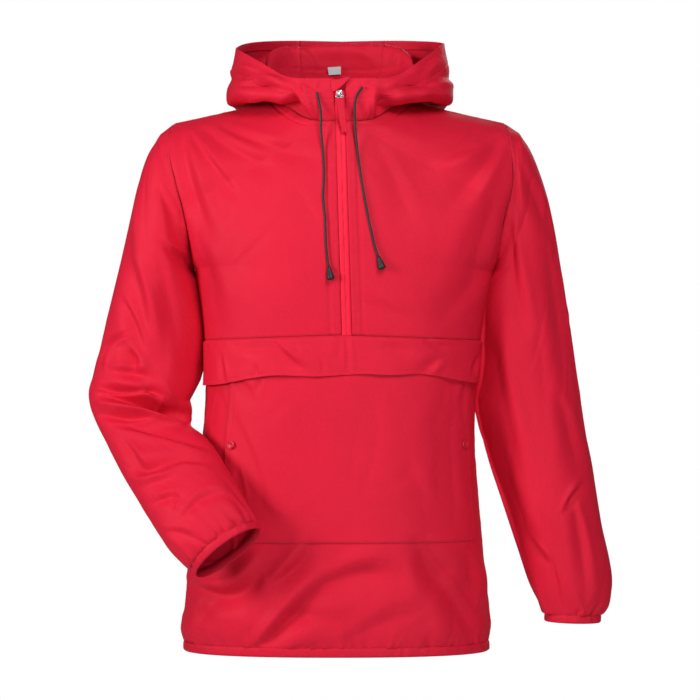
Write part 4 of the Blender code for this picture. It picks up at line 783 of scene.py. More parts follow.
def chest_panel(right, settings):
    cloth = Cloth(fine_grid(chest_surface(right, 220, 180), settings.grid), 1)
    zip_side, hole = ("left", "right") if right else ("right", "left")
    seed = 20 if right else 10
    depth = fold_depths(FRONT_FOLDS, cloth.seen) * edge_fade(cloth)
    depth += small_folds(cloth, seed, 26, 105 if right else 75, 35, 0.06, 0.008, 0.0005) \
        * edge_fade(cloth, wide=0.004)
    depth = np.where(depth < 0, depth * (1 - near_cords(cloth.seen)), depth)
    depth += 0.0014 * np.exp(-((cloth.edge(zip_side)[1] - 0.014) / 0.0022) ** 2)
    depth += tucked(cloth, seed + 1, (zip_side, 0.0075, 0.012, 0.001), (hole, 0.012, 0.008, 0.0007),
                    ("top", 0.012, 0.008, 0.0007), ("bottom", 0.015, 0.006, 0.0007))
    depth += rolled(cloth) + grooved(cloth, (zip_side, FAR_ROW), (hole, MID_ROW))
    cloth.push(depth * settings.crumple)
    return cloth, cloth.lines((zip_side, NEAR_ROW), (zip_side, FAR_ROW), (hole, NEAR_ROW),
                              ("top", NEAR_ROW), ("top", FAR_ROW), ("bottom", NEAR_ROW))


def front_panel(settings):
    lines = np.linspace(HEM_Z + BINDING_TALL + SEAM_GAP, YOKE_CENTRE_Z, 260)
    cloth = Cloth(fine_grid(front_surface(lines, np.linspace(-1, 1, 420)), settings.grid * 1.05), 1)
    depth = fold_depths(FRONT_FOLDS, cloth.seen) * edge_fade(cloth)
    x, z = cloth.seen[..., 0], cloth.seen[..., 1]
    covered = (z > POCKET_BOTTOM.z) & (x > -0.15) & (x < 0.165)
    small = small_folds(cloth, 31, 70, 60, 50, 0.055, 0.008, 0.0007)
    depth += small * np.where(covered, 0.2, 1.0) * edge_fade(cloth, wide=0.004)
    depth += tucked(cloth, 32, ("bottom", 0.015, 0.02, 0.003), ("bottom", 0.0075, 0.007, 0.0012),
                    ("left", 0.014, 0.009, 0.0008), ("right", 0.014, 0.009, 0.0008)) + rolled(cloth)
    cloth.push(depth * settings.crumple)
    return cloth, cloth.lines(("left", SIDE_ROW), ("right", SIDE_ROW))


def pocket_panel(settings):
    lines = np.linspace(POCKET_BOTTOM.z, POCKET_TOP.z, 200)
    turns = np.linspace(POCKET_LEFT_TURN, POCKET_RIGHT_TURN, 300)
    cloth = Cloth(fine_grid(front_surface(lines, turns), settings.grid), 1)
    shared = fold_depths(FRONT_FOLDS, cloth.seen)
    own = fold_depths(POCKET_FOLDS, cloth.seen) + small_folds(cloth, 41, 24, 80, 40, 0.06, 0.009, 0.0005)
    own *= edge_fade(cloth)
    own += tucked(cloth, 42, *((side, 0.014, 0.007, 0.0008) for side in ("left", "right", "bottom")))
    across, up = cloth.u / cloth.u[:, -1:], cloth.v / cloth.v[-1:]
    bulge = 0.014 * across * (1 - across) * (4 * up * (1 - up)) ** 0.8
    gape = 0.0022 * sum(np.exp(-(cloth.edge(side)[1] / 0.012) ** 2) for side in ("left", "right"))
    gape *= np.sin(math.pi * np.clip((up - 0.28) / 0.55, 0, 1)) ** 2
    own = np.minimum(own, 0.0012) * settings.crumple - bulge - gape
    own += 0.0012 * np.exp(-(cloth.edge("bottom")[1] / 0.0015) ** 2)
    own += grooved(cloth, ("left", FAR_ROW), ("right", FAR_ROW))
    cloth.push(shared * settings.crumple * edge_fade(cloth, ("top",)) + own - 0.0021)
    lines = cloth.lines(("left", NEAR_ROW), ("left", POCKET_ROW), ("right", NEAR_ROW),
                        ("right", POCKET_ROW), ("bottom", NEAR_ROW))
    for side in ("left", "right"):
        turned_in(cloth, side, allowance=0.008, thick=0.001)
    return cloth, lines


def flap_panel(settings):
    lines = np.linspace(FLAP_EDGE.z, YOKE_CENTRE_Z, 80)
    dense = front_surface(lines, np.linspace(-0.975, 0.975, 420))
    share = np.linspace(1, 0, len(lines))[:, None]
    rise = sum(high * np.exp(-((dense[..., 0] - x) / wide) ** 2)
               for high, x, wide in ((0.0085, 0.105, 0.045), (0.0055, -0.085, 0.042),
                                     (0.0035, 0.035, 0.03), (-0.003, -0.165, 0.03)))
    dense[..., 2] += rise * share ** 1.5
    cloth = Cloth(fine_grid(dense, settings.grid), 1)
    height = cloth.v / cloth.v[-1:]
    stand = np.interp(height, [0.0, 0.29, 0.6, 1.0], [0.0075, 0.0061, 0.0047, 0.0022])
    side = np.minimum(cloth.edge("left")[1], cloth.edge("right")[1])
    stand = 0.0022 + (stand - 0.0022) * np.clip(side / 0.06, 0.05, 1)
    wave = 0.0012 * np.sin(cloth.u / 0.021 + 0.9 * np.sin(cloth.u / 0.05)) * (1 - height) ** 1.5
    folds = fold_depths(FLAP_FOLDS, cloth.seen)
    folds += small_folds(cloth, 51, 22, 80, 30, 0.022, 0.004, 0.0007)
    folds += tucked(cloth, 52, ("top", 0.011, 0.009, 0.0009), ("bottom", 0.012, 0.007, 0.0008))
    folds *= edge_fade(cloth, ("left", "right"), 0.004) * settings.crumple
    folds = np.minimum(folds, stand - 0.0018)
    cloth.push(folds - stand - wave + rolled(cloth, ("top",)) * 2.2 + grooved(cloth, ("bottom", MID_ROW)))
    lines = cloth.lines(("top", NEAR_ROW), ("bottom", MID_ROW))
    turned_in(cloth, "bottom", allowance=0.01, thick=0.0012)
    return cloth, lines


def back_panels(settings):
    """Two halves that share the centre line up to the nape."""
    left, right = back_surface(220, 150, 200)
    cloths = [Cloth(fine_grid(half, settings.grid * 1.1), 1) for half in (right[:, ::-1], left)]
    folds = [fold._replace(x0=fold.x0 - 0.3, x1=fold.x1 - 0.3)
             for fold in scattered(61, 120, (0.6, 0.76), 75, 45, 0.06, 0.009, 0.0008)]
    lines = []
    for cloth, seam, centre, sign, seed in ((cloths[0], "left", "right", 1, 70),
                                            (cloths[1], "right", "left", -1, 80)):
        own = cloth.edge(centre)[1] * sign
        sides = (seam, "bottom", "top")
        depth = fold_depths(BACK_FOLDS, cloth.seen) * edge_fade(cloth, sides)
        depth += fold_depths(folds, np.stack([own, cloth.v], axis=-1)) * edge_fade(cloth, sides, 0.004)
        hem = (own + 0.3, cloth.edge("bottom")[1])
        depth += puckers(62, hem, 0.015, 0.02, 0.003) + puckers(63, hem, 0.0075, 0.007, 0.0012)
        depth += tucked(cloth, seed, (seam, 0.013, 0.009, 0.0008), ("top", 0.012, 0.008, 0.0007))
        cloth.push((depth + rolled(cloth, sides)) * settings.crumple, settle=False)
        lines += cloth.lines((seam, NEAR_ROW), ("top", NEAR_ROW))
    inner, outer = cloths[0].grid[:, -1], cloths[1].grid[:, 0]
    joined = np.linalg.norm(inner - outer, axis=1) < 0.003
    inner[joined] = outer[joined] = (inner[joined] + outer[joined]) / 2
    return cloths, lines


# How far a sleeve's inner side swings toward the body, and its outer side away from it: heights
# and distances in millimetres, for the left sleeve and the right one.
SLEEVE_SWING = {
    False: [[(-450, -425.6, -399, -372, -346, -319, -292.5, -266, -239, -226),
             (0, -2.5, -12, 1.5, 9.5, 11.5, 9.2, 8, 7, 0)],
            [(-400, -372, -346, -292.5, -239, -190, -120, -60), (0, 1, 5, 6.5, 5, 4, 3, 0)]],
    True: [[(-650, -480, -452, -425.6, -399, -372, -346, -319, -266, -239, -226),
            (3.5, 2.5, 1.5, 5.5, 11.5, 9, 9, 11.5, 10.2, 7, 0)],
           [(-450, -372, -292.5, -239, -130, -80, -50), (0, 2.5, 5.5, 6.5, 4.5, 2, 0)]],
}
# How far the inner half of a sleeve's front falls back, by height.
SLEEVE_FALL = {
    False: [(-420, -390, -350, -230, -170), (0, 8, 20, 17, 0)],
    True: [(-650, -600, -460, -330, -260), (0, 12, 24, 22, 0)],
}
# How far a sleeve's front is rocked: its inner half forward and its outer half back, by height.
SLEEVE_ROCK = {
    False: [(-360, -260, -120), (0, -2, 1)],
    True: [(-600, -450, -330, -220, -60), (0, 0, 2, 4, 6)],
}
# How far the whole front of the right sleeve is set back, by height.
FRONT_SET_BACK = [(-550, -400, -120, -60), (0, 13, 13, 0)]


def sleeve_swing(cloth, right):
    """Moves the sides of a sleeve so that it rests against the body as it hangs."""
    def by_height(curve):
        return np.interp(cloth.grid[..., 2] * 1000, *curve) / 1000

    side = 1 if right else -1
    reach = cloth.grid[..., 0] * side
    reach = reach - reach.min(axis=1, keepdims=True)
    turn = -by_height(SLEEVE_ROCK[right]) * np.sin(2 * math.pi * reach / reach.max(axis=1, keepdims=True))
    if right:
        turn += by_height(FRONT_SET_BACK)
    forward = np.clip(-3 * cloth.normals[..., 1], 0, 1)
    turn *= forward * np.clip(cloth.edge("bottom")[1] / 0.05, 0, 1)
    away = np.clip(reach / (0.034 if right else 0.038), 0, 1)
    fall = by_height(SLEEVE_FALL[right]) * (1 - away * away * (3 - 2 * away)) * forward
    inner, outer = (by_height(curve) for curve in SLEEVE_SWING[right])
    facing = cloth.normals[..., 0] * side
    cloth.grid = cloth.grid.copy()
    cloth.grid[..., 1] += fall + turn
    cloth.grid[..., 0] += side * (outer * np.clip(facing, 0, 1) ** 2 - inner * np.clip(-facing, 0, 1) ** 2)


def sleeve_panel(right, settings):
    dense = sleeve_surface(SLEEVE_RIGHT if right else SLEEVE_LEFT, right, 300, 260)
    cloth = Cloth(fine_grid(dense, settings.grid * 1.1), 1 if right else -1, closed=True)
    facing = np.clip(np.abs(cloth.normals[..., 1]) * 2.5, 0, 1)
    front, back = (RIGHT_SLEEVE_FOLDS, RIGHT_SLEEVE_BACK_FOLDS) if right \
        else (LEFT_SLEEVE_FOLDS, LEFT_SLEEVE_BACK_FOLDS)
    depth = np.where(cloth.normals[..., 1] < 0, fold_depths(front, cloth.seen),
                     fold_depths(back, cloth.seen))
    depth *= 2.0 * facing * edge_fade(cloth, wide=0.012)
    seed = 100 if right else 90
    depth += small_folds(cloth, seed, 70, 80 if right else 60, 45, 0.055, 0.0085, 0.0007) \
        * edge_fade(cloth, wide=0.006)
    depth += tucked(cloth, seed + 1, ("bottom", 0.012, 0.012, 0.0011), ("top", 0.0145, 0.034, 0.0052),
                    ("top", 0.008, 0.009, 0.0014)) + rolled(cloth)
    cloth.push(depth * settings.crumple, settle=False)
    sleeve_swing(cloth, right)
    cloth.grid[:, 0] = cloth.grid[:, -1] = (cloth.grid[:, 0] + cloth.grid[:, -1]) / 2
    cloth.settle()
    return cloth, cloth.lines(("bottom", SIDE_ROW), ("top", NEAR_ROW))


COLLAR_FOLDS = table(Fold, [
    (-65, 0, -50, -34, 0, 9.9, 17.9, 0.35, 0.6), (-56, 12, -52, -4, 0, 5.8, 5.5, 0.6, 0.5),
    (-47, -4, -40, -34, 0, 4.1, 2.2, 0.7), (50, -32, 56, -1, 0, 9.2, 16.5, 0.35, 0.6),
    (40, -34, 42, -12, 0, 4.1, 2.2, 0.7), (-30, 3, -42, 12, 0, 3.5, 1.6, 0.7),
    (-30, 3, -25, 15, 0, 3.3, 1.4, 0.7), (28, 8, 42, 16, 0, 3.5, 1.6, 0.7),
    (28, 8, 24, 18, 0, 3.3, 1.4, 0.7), (28, 8, 40, 2, 0, 3.5, 1.4, 0.7),
], SHARES)
HOOD_FOLDS = table(Fold, [
    (-150, 30, -95, 10, 6, 9.7, 7.9, 0.6), (-135, 15, -75, 4, 4, 7.2, 6.8, 0.6),
    (-100, 40, -55, 18, 3, 6.6, 4.9, 0.6), (-120, 50, -100, 30, 0, 7.2, 4.9, 0.6),
    (150, 30, 90, 8, -6, 9.7, 7.4, 0.6), (130, 10, 70, 6, -4, 7.2, 6.8, 0.6),
    (110, 45, 55, 18, -3, 6.6, 4.9, 0.6), (125, 56, 105, 35, 0, 7.2, 4.3, 0.6),
], SHARES)


def inside_folds(cloth):
    """The folds seen inside the back of the hood; none at the rim or the neck seam."""
    behind = np.clip((cloth.grid[..., 1] - 0.01) / 0.04, 0, 1)
    return fold_depths(HOOD_INSIDE_FOLDS, cloth.seen) * behind * edge_fade(cloth, ("top", "bottom"), 0.009)


def casing(cloth, seed):
    """The gathers and the groove along the inner edge of the hood's casing."""
    along, away = cloth.edge("top")
    away = np.abs(away - CASING_ROW)
    return puckers(seed, (along, away), 0.01, 0.008, 0.0009) + 0.0006 * np.exp(-(away / 0.0016) ** 2)


def hood_panel(left, settings):
    dense = hood_surface(left, 220, 300, (0.0, 0.0), (HOOD_PANEL_NECK, HOOD_PANEL_RIM),
                         TAPE_HALF + SEAM_GAP)
    cloth = Cloth(fine_grid(dense, settings.grid), -1 if left else 1)
    front = np.clip(-(cloth.grid[..., 1] + 0.03) / 0.03, 0, 1)
    depth = fold_depths(COLLAR_FOLDS, cloth.seen) * front * edge_fade(cloth, wide=0.003)
    depth += fold_depths(HOOD_FOLDS, cloth.seen) * edge_fade(cloth) + inside_folds(cloth)
    seed = 120 if left else 110
    depth += small_folds(cloth, seed, 50, 60, 60, 0.035, 0.006, 0.0008) * edge_fade(cloth, wide=0.004)
    near = np.exp(-cloth.edge("left")[1] / 0.05) * near_cords(cloth.seen)
    depth = np.where(depth < 0, depth * (1 - near), depth)
    depth += tucked(cloth, seed + 1, ("bottom", 0.01, 0.012, 0.0014), ("right", 0.012, 0.009, 0.0009),
                    ("left", 0.011, 0.006, 0.0006))
    depth += casing(cloth, seed + 4) * np.clip(cloth.v[-1:] / 0.1, 0, 1)
    cloth.push((depth + rolled(cloth, SIDES[:3])) * settings.crumple)
    lines = [cloth.line("top", CASING_ROW, span=(0.1, 1.0))]
    lines += cloth.lines(("right", NEAR_ROW), ("right", FAR_ROW), ("bottom", NEAR_ROW),
                         ("left", NEAR_ROW), ("left", FAR_ROW))
    turned_in(cloth, "top", allowance=0.01, thick=0.0013)
    return cloth, lines


def hood_centre_panel(settings):
    ends = ((HOOD_PANEL_NECK, HOOD_PANEL_RIM), (180.0, 180.0))
    halves = [hood_surface(left, 220, 60, *ends) for left in (True, False)]
    dense = np.concatenate([halves[0], halves[1][:, -2::-1]], axis=1)
    cloth = Cloth(fine_grid(dense, settings.grid), -1)
    depth = small_folds(cloth, 131, 36, 80, 50, 0.035, 0.006, 0.0009) * edge_fade(cloth, wide=0.004)
    depth += inside_folds(cloth)
    depth += tucked(cloth, 132, ("bottom", 0.0085, 0.014, 0.0018), ("left", 0.012, 0.009, 0.0009),
                    ("right", 0.012, 0.009, 0.0009))
    cloth.push((depth + casing(cloth, 135) + rolled(cloth, SIDES[:3])) * settings.crumple)
    lines = cloth.lines(("top", CASING_ROW), ("left", NEAR_ROW), ("left", FAR_ROW),
                        ("right", NEAR_ROW), ("right", FAR_ROW))
    turned_in(cloth, "top", allowance=0.01, thick=0.0013)
    return cloth, lines


def band_along(ring, ups, outs, tall, thick, seed):
    """A narrow elasticated band round a closed ring: a rounded section, drawn up unevenly."""
    section = [(0.0, 0.2), (0.1, 0.8), (0.3, 1.0), (0.75, 1.0), (0.95, 0.9), (1.15, 0.7),
               (1.15, 0.0), (0.5, 0.0), (0.08, 0.0)]
    steps = np.linalg.norm(np.diff(ring, axis=0, append=ring[:1]), axis=1)
    along = np.cumsum(steps) - steps[0]
    wave = puckers(seed, (along, np.full(len(ring), 0.004)), 0.008, 0.02, 0.001, 0.0)
    rows = []
    for up, out in section + section[:1]:
        lift = thick * out - wave * min(1.0, out * 2)
        rows.append(ring + ups * tall * up + outs * lift[:, None])
    rows = np.array(rows)
    return np.concatenate([rows, rows[:, :1]], axis=1)


def hem_band():
    turns = np.linspace(-1, 1, 240)
    top = HEM_Z + BINDING_TALL
    front, back = body_row(top, 0.0, turns, True), body_row(top, 0.0, turns[::-1], False)
    ring = np.concatenate([front, back[1:-1]])
    ring[:, 2] = HEM_Z
    outs = unit(np.stack([ring[:, 0] * 0.35, ring[:, 1], np.zeros(len(ring))], axis=-1))
    ring[:, 0] *= 1.01
    ring = ring - outs * 0.0013
    return band_along(ring, np.tile([0.0, 0.0, 1.0], (len(ring), 1)), outs, BINDING_TALL + 0.0007,
                      0.0024, 140)


def cuff_band(sleeve, seed):
    """The binding that carries on from the sleeve's end."""
    end, before = sleeve.flat[-1, :-1], sleeve.flat[-12, :-1]
    middle = end.mean(axis=0)
    along = unit(middle - before.mean(axis=0))
    outs = unit(end - middle)
    ring = middle + (end - middle) * 0.975 + along * BINDING_TALL - outs * 0.0016
    return band_along(ring, np.tile(-along, (len(ring), 1)), outs, BINDING_TALL - 0.0002, 0.0022, seed)


def band_object(name, rows, material):
    """A band as a closed tube of cloth, with its UVs in metres."""
    cloth = Cloth(rows, 1)
    middle = rows.reshape(-1, 3).mean(axis=0)
    outer = rows[2] - middle
    cloth.sign = 1 if (normals_of(rows, 1)[2] * outer).sum() > 0 else -1
    return cloth_object(name, [cloth], material)


def tube_object(name, path, sides, radius, material):
    """A round tube with both ends closed, and UVs along and around it."""
    tangents = unit(np.gradient(path, axis=0))
    side = unit(np.cross(tangents, (1.0, 0.0, 0.0)))
    other = np.cross(tangents, side)
    turn = np.linspace(0, 2 * math.pi, sides + 1)[None, :, None]
    rings = path[:, None] + radius * (side[:, None] * np.cos(turn) + other[:, None] * np.sin(turn))
    v = lengths_along(path[:, None], 0)[:, 0]
    rings = np.concatenate([rings[:1] * 0 + path[0], rings, rings[:1] * 0 + path[-1]])
    v = np.concatenate([[v[0]], v, [v[-1]]])
    uvs = np.stack(np.meshgrid(np.linspace(0, 1, sides + 1), v), axis=-1).reshape(-1, 2)
    return cleaned(mesh_object(name, rings.reshape(-1, 3), grid_faces(len(rings), sides + 1), material, uvs))


def cleaned(result):
    """Welds doubles, drops empty faces and turns all faces outward."""
    with edited(result.data) as bm:
        bmesh.ops.remove_doubles(bm, verts=bm.verts, dist=FINE_WELD)
        bmesh.ops.dissolve_degenerate(bm, edges=bm.edges, dist=0.000001)
        bmesh.ops.recalc_face_normals(bm, faces=bm.faces)
    result.data.polygons.foreach_set("use_smooth", [True] * len(result.data.polygons))
    return result


def ring_mesh(name, rings, material, closed=False):
    """A solid from rings of points, capped at both ends or closed on itself."""
    count, sides = rings.shape[:2]
    faces = [(i * sides + k, i * sides + (k + 1) % sides,
              (i + 1) % count * sides + (k + 1) % sides, (i + 1) % count * sides + k)
             for i in range(count - (not closed)) for k in range(sides)]
    if not closed:
        faces += [tuple(range(sides)), tuple(range(count * sides - 1, (count - 1) * sides - 1, -1))]
    return cleaned(mesh_object(name, rings.reshape(-1, 3), faces, material))


def turned_object(name, start, axis, profile, sides, material):
    """A turned piece: profile rows are (distance along the axis, radius)."""
    axis = unit(np.asarray(axis, float))
    side = unit(np.cross(axis, (1.0, 0.0, 0.0)))
    turn = np.linspace(0, 2 * math.pi, sides, endpoint=False)[:, None]
    ring = side * np.cos(turn) + np.cross(axis, side) * np.sin(turn)
    return ring_mesh(name, np.array([start + axis * along + ring * radius for along, radius in profile]),
                     material)


def smooth_route(route, count):
    """Evenly spaced points of the smooth curve through a cord's route."""
    fine = spline(np.linspace(0, 1, len(route)), route, np.linspace(0, 1, 1200))
    lengths = lengths_along(fine[:, None], 0)[:, 0]
    marks = np.linspace(0, lengths[-1], count)
    return np.stack([np.interp(marks, lengths, fine[:, axis]) for axis in range(3)], axis=-1)


# ---------------------------------------------------------------- geometry nodes
class Nodes:
    """A node tree while it is laid out."""

    def __init__(self, tree):
        self.tree = tree
        tree.nodes.clear()

    def node(self, kind, inputs=(), **settings):
        """A node with its settings; each input takes a value, an output or a node's first output."""
        made = self.tree.nodes.new(kind)
        for label, value in settings.items():
            setattr(made, label, value)
        self.feed(made, inputs)
        return made

    def feed(self, node, inputs):
        for label, value in dict(inputs).items():
            if isinstance(value, bpy.types.Node):
                value = value.outputs[0]
            if isinstance(value, bpy.types.NodeSocket):
                self.tree.links.new(value, node.inputs[label])
            else:
                node.inputs[label].default_value = value


def repeat_tree():
    """Node tree that lays one copy of a small part at each step along the edges it is given."""
    name = "Repeat Along Rows"
    if name in bpy.data.node_groups:
        return bpy.data.node_groups[name]
    tree = bpy.data.node_groups.new(name, "GeometryNodeTree")
    nodes = Nodes(tree)
    add = nodes.node
    tree.interface.new_socket("Geometry", in_out="OUTPUT", socket_type="NodeSocketGeometry")
    for label, kind, default in (("Geometry", "Geometry", None), ("Pitch", "Float", 0.003),
                                 ("Length", "Float", 0.0022), ("Radius", "Float", 0.0002),
                                 ("Unevenness", "Float", 0.15), ("Lean", "Float", 0.0),
                                 ("Seed", "Int", 7), ("Material", "Material", None)):
        socket = tree.interface.new_socket(label, in_out="INPUT", socket_type="NodeSocket" + kind)
        if default is not None:
            socket.default_value = default
    given = add("NodeGroupInput").outputs
    curve = add("GeometryNodeMeshToCurve", {"Mesh": given["Geometry"]})
    steps = add("GeometryNodeResampleCurve", {"Curve": curve, "Length": given["Pitch"]}, mode="LENGTH")
    half = add("ShaderNodeMath", {0: given["Length"], 1: 0.5}, operation="MULTIPLY")
    size = add("ShaderNodeCombineXYZ", {"X": given["Radius"], "Y": given["Radius"], "Z": half})
    grain = add("GeometryNodeMeshIcoSphere", {"Radius": 1.0, "Subdivisions": 1})
    shape = add("GeometryNodeTransform", {"Geometry": grain, "Scale": size})
    align = add("FunctionNodeAlignRotationToVector", {"Vector": add("GeometryNodeInputTangent")}, axis="Z")
    lean = add("ShaderNodeCombineXYZ", {"X": given["Lean"]})
    tilt = add("FunctionNodeRotateRotation", {0: align, 1: lean}, rotation_space="LOCAL")
    vary = add("FunctionNodeRandomValue", {"Seed": given["Seed"]})
    ends = [k for k, socket in enumerate(vary.inputs) if socket.type == "VALUE"][:2]
    for end, way in zip(ends, ("SUBTRACT", "ADD")):
        nodes.feed(vary, {end: add("ShaderNodeMath", {0: 1.0, 1: given["Unevenness"]}, operation=way)})
    drawn = next(socket for socket in vary.outputs if socket.type == "VALUE")
    place = add("GeometryNodeInstanceOnPoints", {"Points": steps, "Instance": shape, "Rotation": tilt,
                                                 "Scale": drawn})
    smooth = add("GeometryNodeSetShadeSmooth", {0: add("GeometryNodeRealizeInstances", {0: place})})
    paint = add("GeometryNodeSetMaterial", {"Geometry": smooth, "Material": given["Material"]})
    add("NodeGroupOutput", {0: paint})
    return tree


def repeated(name, lines, material, **inputs):
    """One plain mesh of the small parts along all the lines."""
    points, edges = [], []
    for line in lines:
        first = len(points)
        points += [tuple(point) for point in line]
        edges += [(k, k + 1) for k in range(first, len(points) - 1)]
    mesh = bpy.data.meshes.new(name + "_rows")
    mesh.from_pydata(points, edges, [])
    rows = bpy.data.objects.new(name + "_rows", mesh)
    bpy.context.scene.collection.objects.link(rows)
    tree = repeat_tree()
    modifier = rows.modifiers.new("Repeat", "NODES")
    modifier.node_group = tree
    sockets = {item.name: item.identifier for item in tree.interface.items_tree
               if item.item_type == "SOCKET" and item.in_out == "INPUT"}
    modifier[sockets["Material"]] = material
    for label, value in inputs.items():
        modifier[sockets[label]] = value
    evaluated = rows.evaluated_get(bpy.context.evaluated_depsgraph_get())
    finished = bpy.data.meshes.new_from_object(evaluated)
    if len(finished.polygons) == 0:
        raise RuntimeError(f"{name} has no faces")
    bpy.data.objects.remove(rows, do_unlink=True)
    bpy.data.meshes.remove(mesh)
    finished.name = name
    result = bpy.data.objects.new(name, finished)
    bpy.context.scene.collection.objects.link(result)
    return result


# ---------------------------------------------------------------- materials
# Scale of a wave texture whose bands are one unit apart.
BAND = 0.3142


class Finish(Nodes):
    """A material while its nodes are laid out; its shader is a Principled BSDF."""

    def __init__(self, name, **constants):
        self.material = bpy.data.materials.new(name)
        self.material.use_nodes = True
        super().__init__(self.material.node_tree)
        self.shader = self.node("ShaderNodeBsdfPrincipled", {label.replace("_", " "): value
                                                             for label, value in constants.items()})
        self.node("ShaderNodeOutputMaterial", {"Surface": self.shader})

    def places(self, kind="UV", scale=(1.0, 1.0, 1.0), turn=0.0):
        """Coordinates of the piece's own UV map, or of the object, scaled and turned."""
        source = self.node("ShaderNodeTexCoord").outputs[kind]
        return self.node("ShaderNodeMapping", {"Vector": source, "Scale": scale,
                                               "Rotation": (0.0, 0.0, turn)}).outputs["Vector"]

    def noise(self, where, scale, detail=2.0, rough=0.5, warp=0.0):
        return self.node("ShaderNodeTexNoise", {"Vector": where, "Scale": scale, "Detail": detail,
                                                "Roughness": rough, "Distortion": warp}).outputs["Fac"]

    def wave(self, where, scale, direction="X"):
        return self.node("ShaderNodeTexWave", {"Vector": where, "Scale": scale}, wave_type="BANDS",
                         bands_direction=direction).outputs["Fac"]

    def sum(self, first, second, operation="ADD"):
        return self.node("ShaderNodeMath", {0: first, 1: second}, operation=operation).outputs[0]

    def spread(self, value, low, high, start=0.0, end=1.0):
        """The value carried from start-end to low-high."""
        return self.node("ShaderNodeMapRange", {"Value": value, "From Min": start, "From Max": end,
                                                "To Min": low, "To Max": high}).outputs["Result"]

    def colours(self, value, stops):
        """Base colour along a ramp of (place, colour) stops."""
        ramp = self.node("ShaderNodeValToRGB", {"Fac": value})
        elements = ramp.color_ramp.elements
        while len(elements) < len(stops):
            elements.new(0.5)
        for element, (place, colour) in zip(elements, stops):
            element.position, element.color = place, (*colour[:3], 1.0)
        self.feed(self.shader, {"Base Color": ramp})

    def roughness(self, value):
        self.feed(self.shader, {"Roughness": value})

    def bumps(self, *layers):
        """Bumps on bumps: each layer is a height, its strength and its distance in metres."""
        before = {}
        for height, strength, distance in layers:
            before = {"Normal": self.node("ShaderNodeBump", {"Height": height, "Strength": strength,
                                                             "Distance": distance, **before})}
        self.feed(self.shader, before)


def tinted(colour, share):
    """The colour brighter or darker by a share."""
    return tuple(min(1.0, max(0.0, part * (1 + share))) for part in colour[:3])


def woven(name, colour, pitch, rough, crinkle=1.0, sheen=0.02):
    """Woven cloth: threads both ways, a soft crinkle and small changes of colour."""
    made = Finish(name, Sheen_Weight=sheen, Sheen_Roughness=0.45, Specular_IOR_Level=0.11)
    made.shader.inputs["Sheen Tint"].default_value = (*tinted(colour, 0.15), 1.0)
    flat, solid = made.places(), made.places("Object")
    threads = made.sum(*(made.wave(flat, BAND / pitch, way) for way in "XY"), "MAXIMUM")
    soft = made.noise(flat, 55.0, 3.0, 0.55, 0.6)
    fine = made.noise(flat, 260.0, 2.0, 0.5)
    broad = made.noise(solid, 9.0, 3.0, 0.55)
    shade = made.sum(made.sum(broad, 0.55, "MULTIPLY"), made.sum(fine, 0.45, "MULTIPLY"))
    shade = made.sum(shade, made.sum(threads, 0.04, "MULTIPLY"))
    made.colours(shade, [(0.34, tinted(colour, -0.07)), (0.52, colour), (0.7, tinted(colour, 0.05))])
    made.roughness(made.spread(made.sum(soft, made.sum(fine, 0.4, "MULTIPLY")), rough - 0.06,
                               rough + 0.08, 0.4, 1.0))
    made.bumps((soft, 0.3 * crinkle, 0.0012), (fine, 0.16 * crinkle, 0.0004), (threads, 0.1, 0.0001))
    return made.material


def thread_finish(name, colour):
    """Sewing thread with the slant of its plies."""
    made = Finish(name, Roughness=0.5, Sheen_Weight=0.2)
    made.colours(made.noise(made.places("Object"), 900.0),
                 [(0.3, tinted(colour, -0.25)), (0.7, tinted(colour, 0.1))])
    made.bumps((made.wave(made.places("Object", turn=0.7), 1400.0), 0.3, 0.0001))
    return made.material


def braided(name, colour):
    """A round braid: strands wound both ways, over and under; UV u runs once round the cord."""
    made = Finish(name, Sheen_Weight=0.12, Specular_IOR_Level=0.4)
    strands = made.sum(*(made.wave(made.places(scale=(turns, 450.0, 1.0)), BAND, "DIAGONAL")
                         for turns in (5.0, -5.0)), "MULTIPLY")
    grain = made.noise(made.places("Object"), 700.0, 3.0)
    made.colours(made.sum(made.sum(strands, 0.6, "MULTIPLY"), made.sum(grain, 0.4, "MULTIPLY")),
                 [(0.15, tinted(colour, -0.5)), (0.75, tinted(colour, 0.9))])
    made.roughness(made.spread(grain, 0.48, 0.66))
    made.bumps((strands, 0.6, 0.0003))
    return made.material


def moulded(name, colour, rough):
    """Moulded rubbery plastic with a fine grain."""
    made = Finish(name, Specular_IOR_Level=0.45)
    solid = made.places("Object")
    grain = made.noise(solid, 1500.0, 2.0)
    made.colours(made.noise(solid, 160.0, 3.0), [(0.3, tinted(colour, -0.25)), (0.7, tinted(colour, 0.25))])
    made.roughness(made.spread(grain, rough - 0.06, rough + 0.08))
    made.bumps((grain, 0.12, 0.0001))
    return made.material


def plated(name, colour, rough):
    """Plated metal, a little worn, with fine lines of polishing."""
    made = Finish(name, Metallic=1.0)
    lines = made.noise(made.places("Object", (1.0, 1.0, 9.0)), 500.0, 3.0)
    worn = made.noise(made.places("Object"), 230.0, 4.0, 0.65)
    made.colours(worn, [(0.25, tinted(colour, -0.35)), (0.6, colour)])
    made.roughness(made.spread(worn, rough + 0.16, rough, 0.3, 0.7))
    made.bumps((lines, 0.1, 0.0001))
    return made.material


def plain_ground(name, colour):
    """The pale floor, very slightly mottled."""
    made = Finish(name, Roughness=0.9)
    made.colours(made.noise(made.places("Object"), 4.0), [(0.3, tinted(colour, -0.01)), (0.7, colour)])
    return made.material


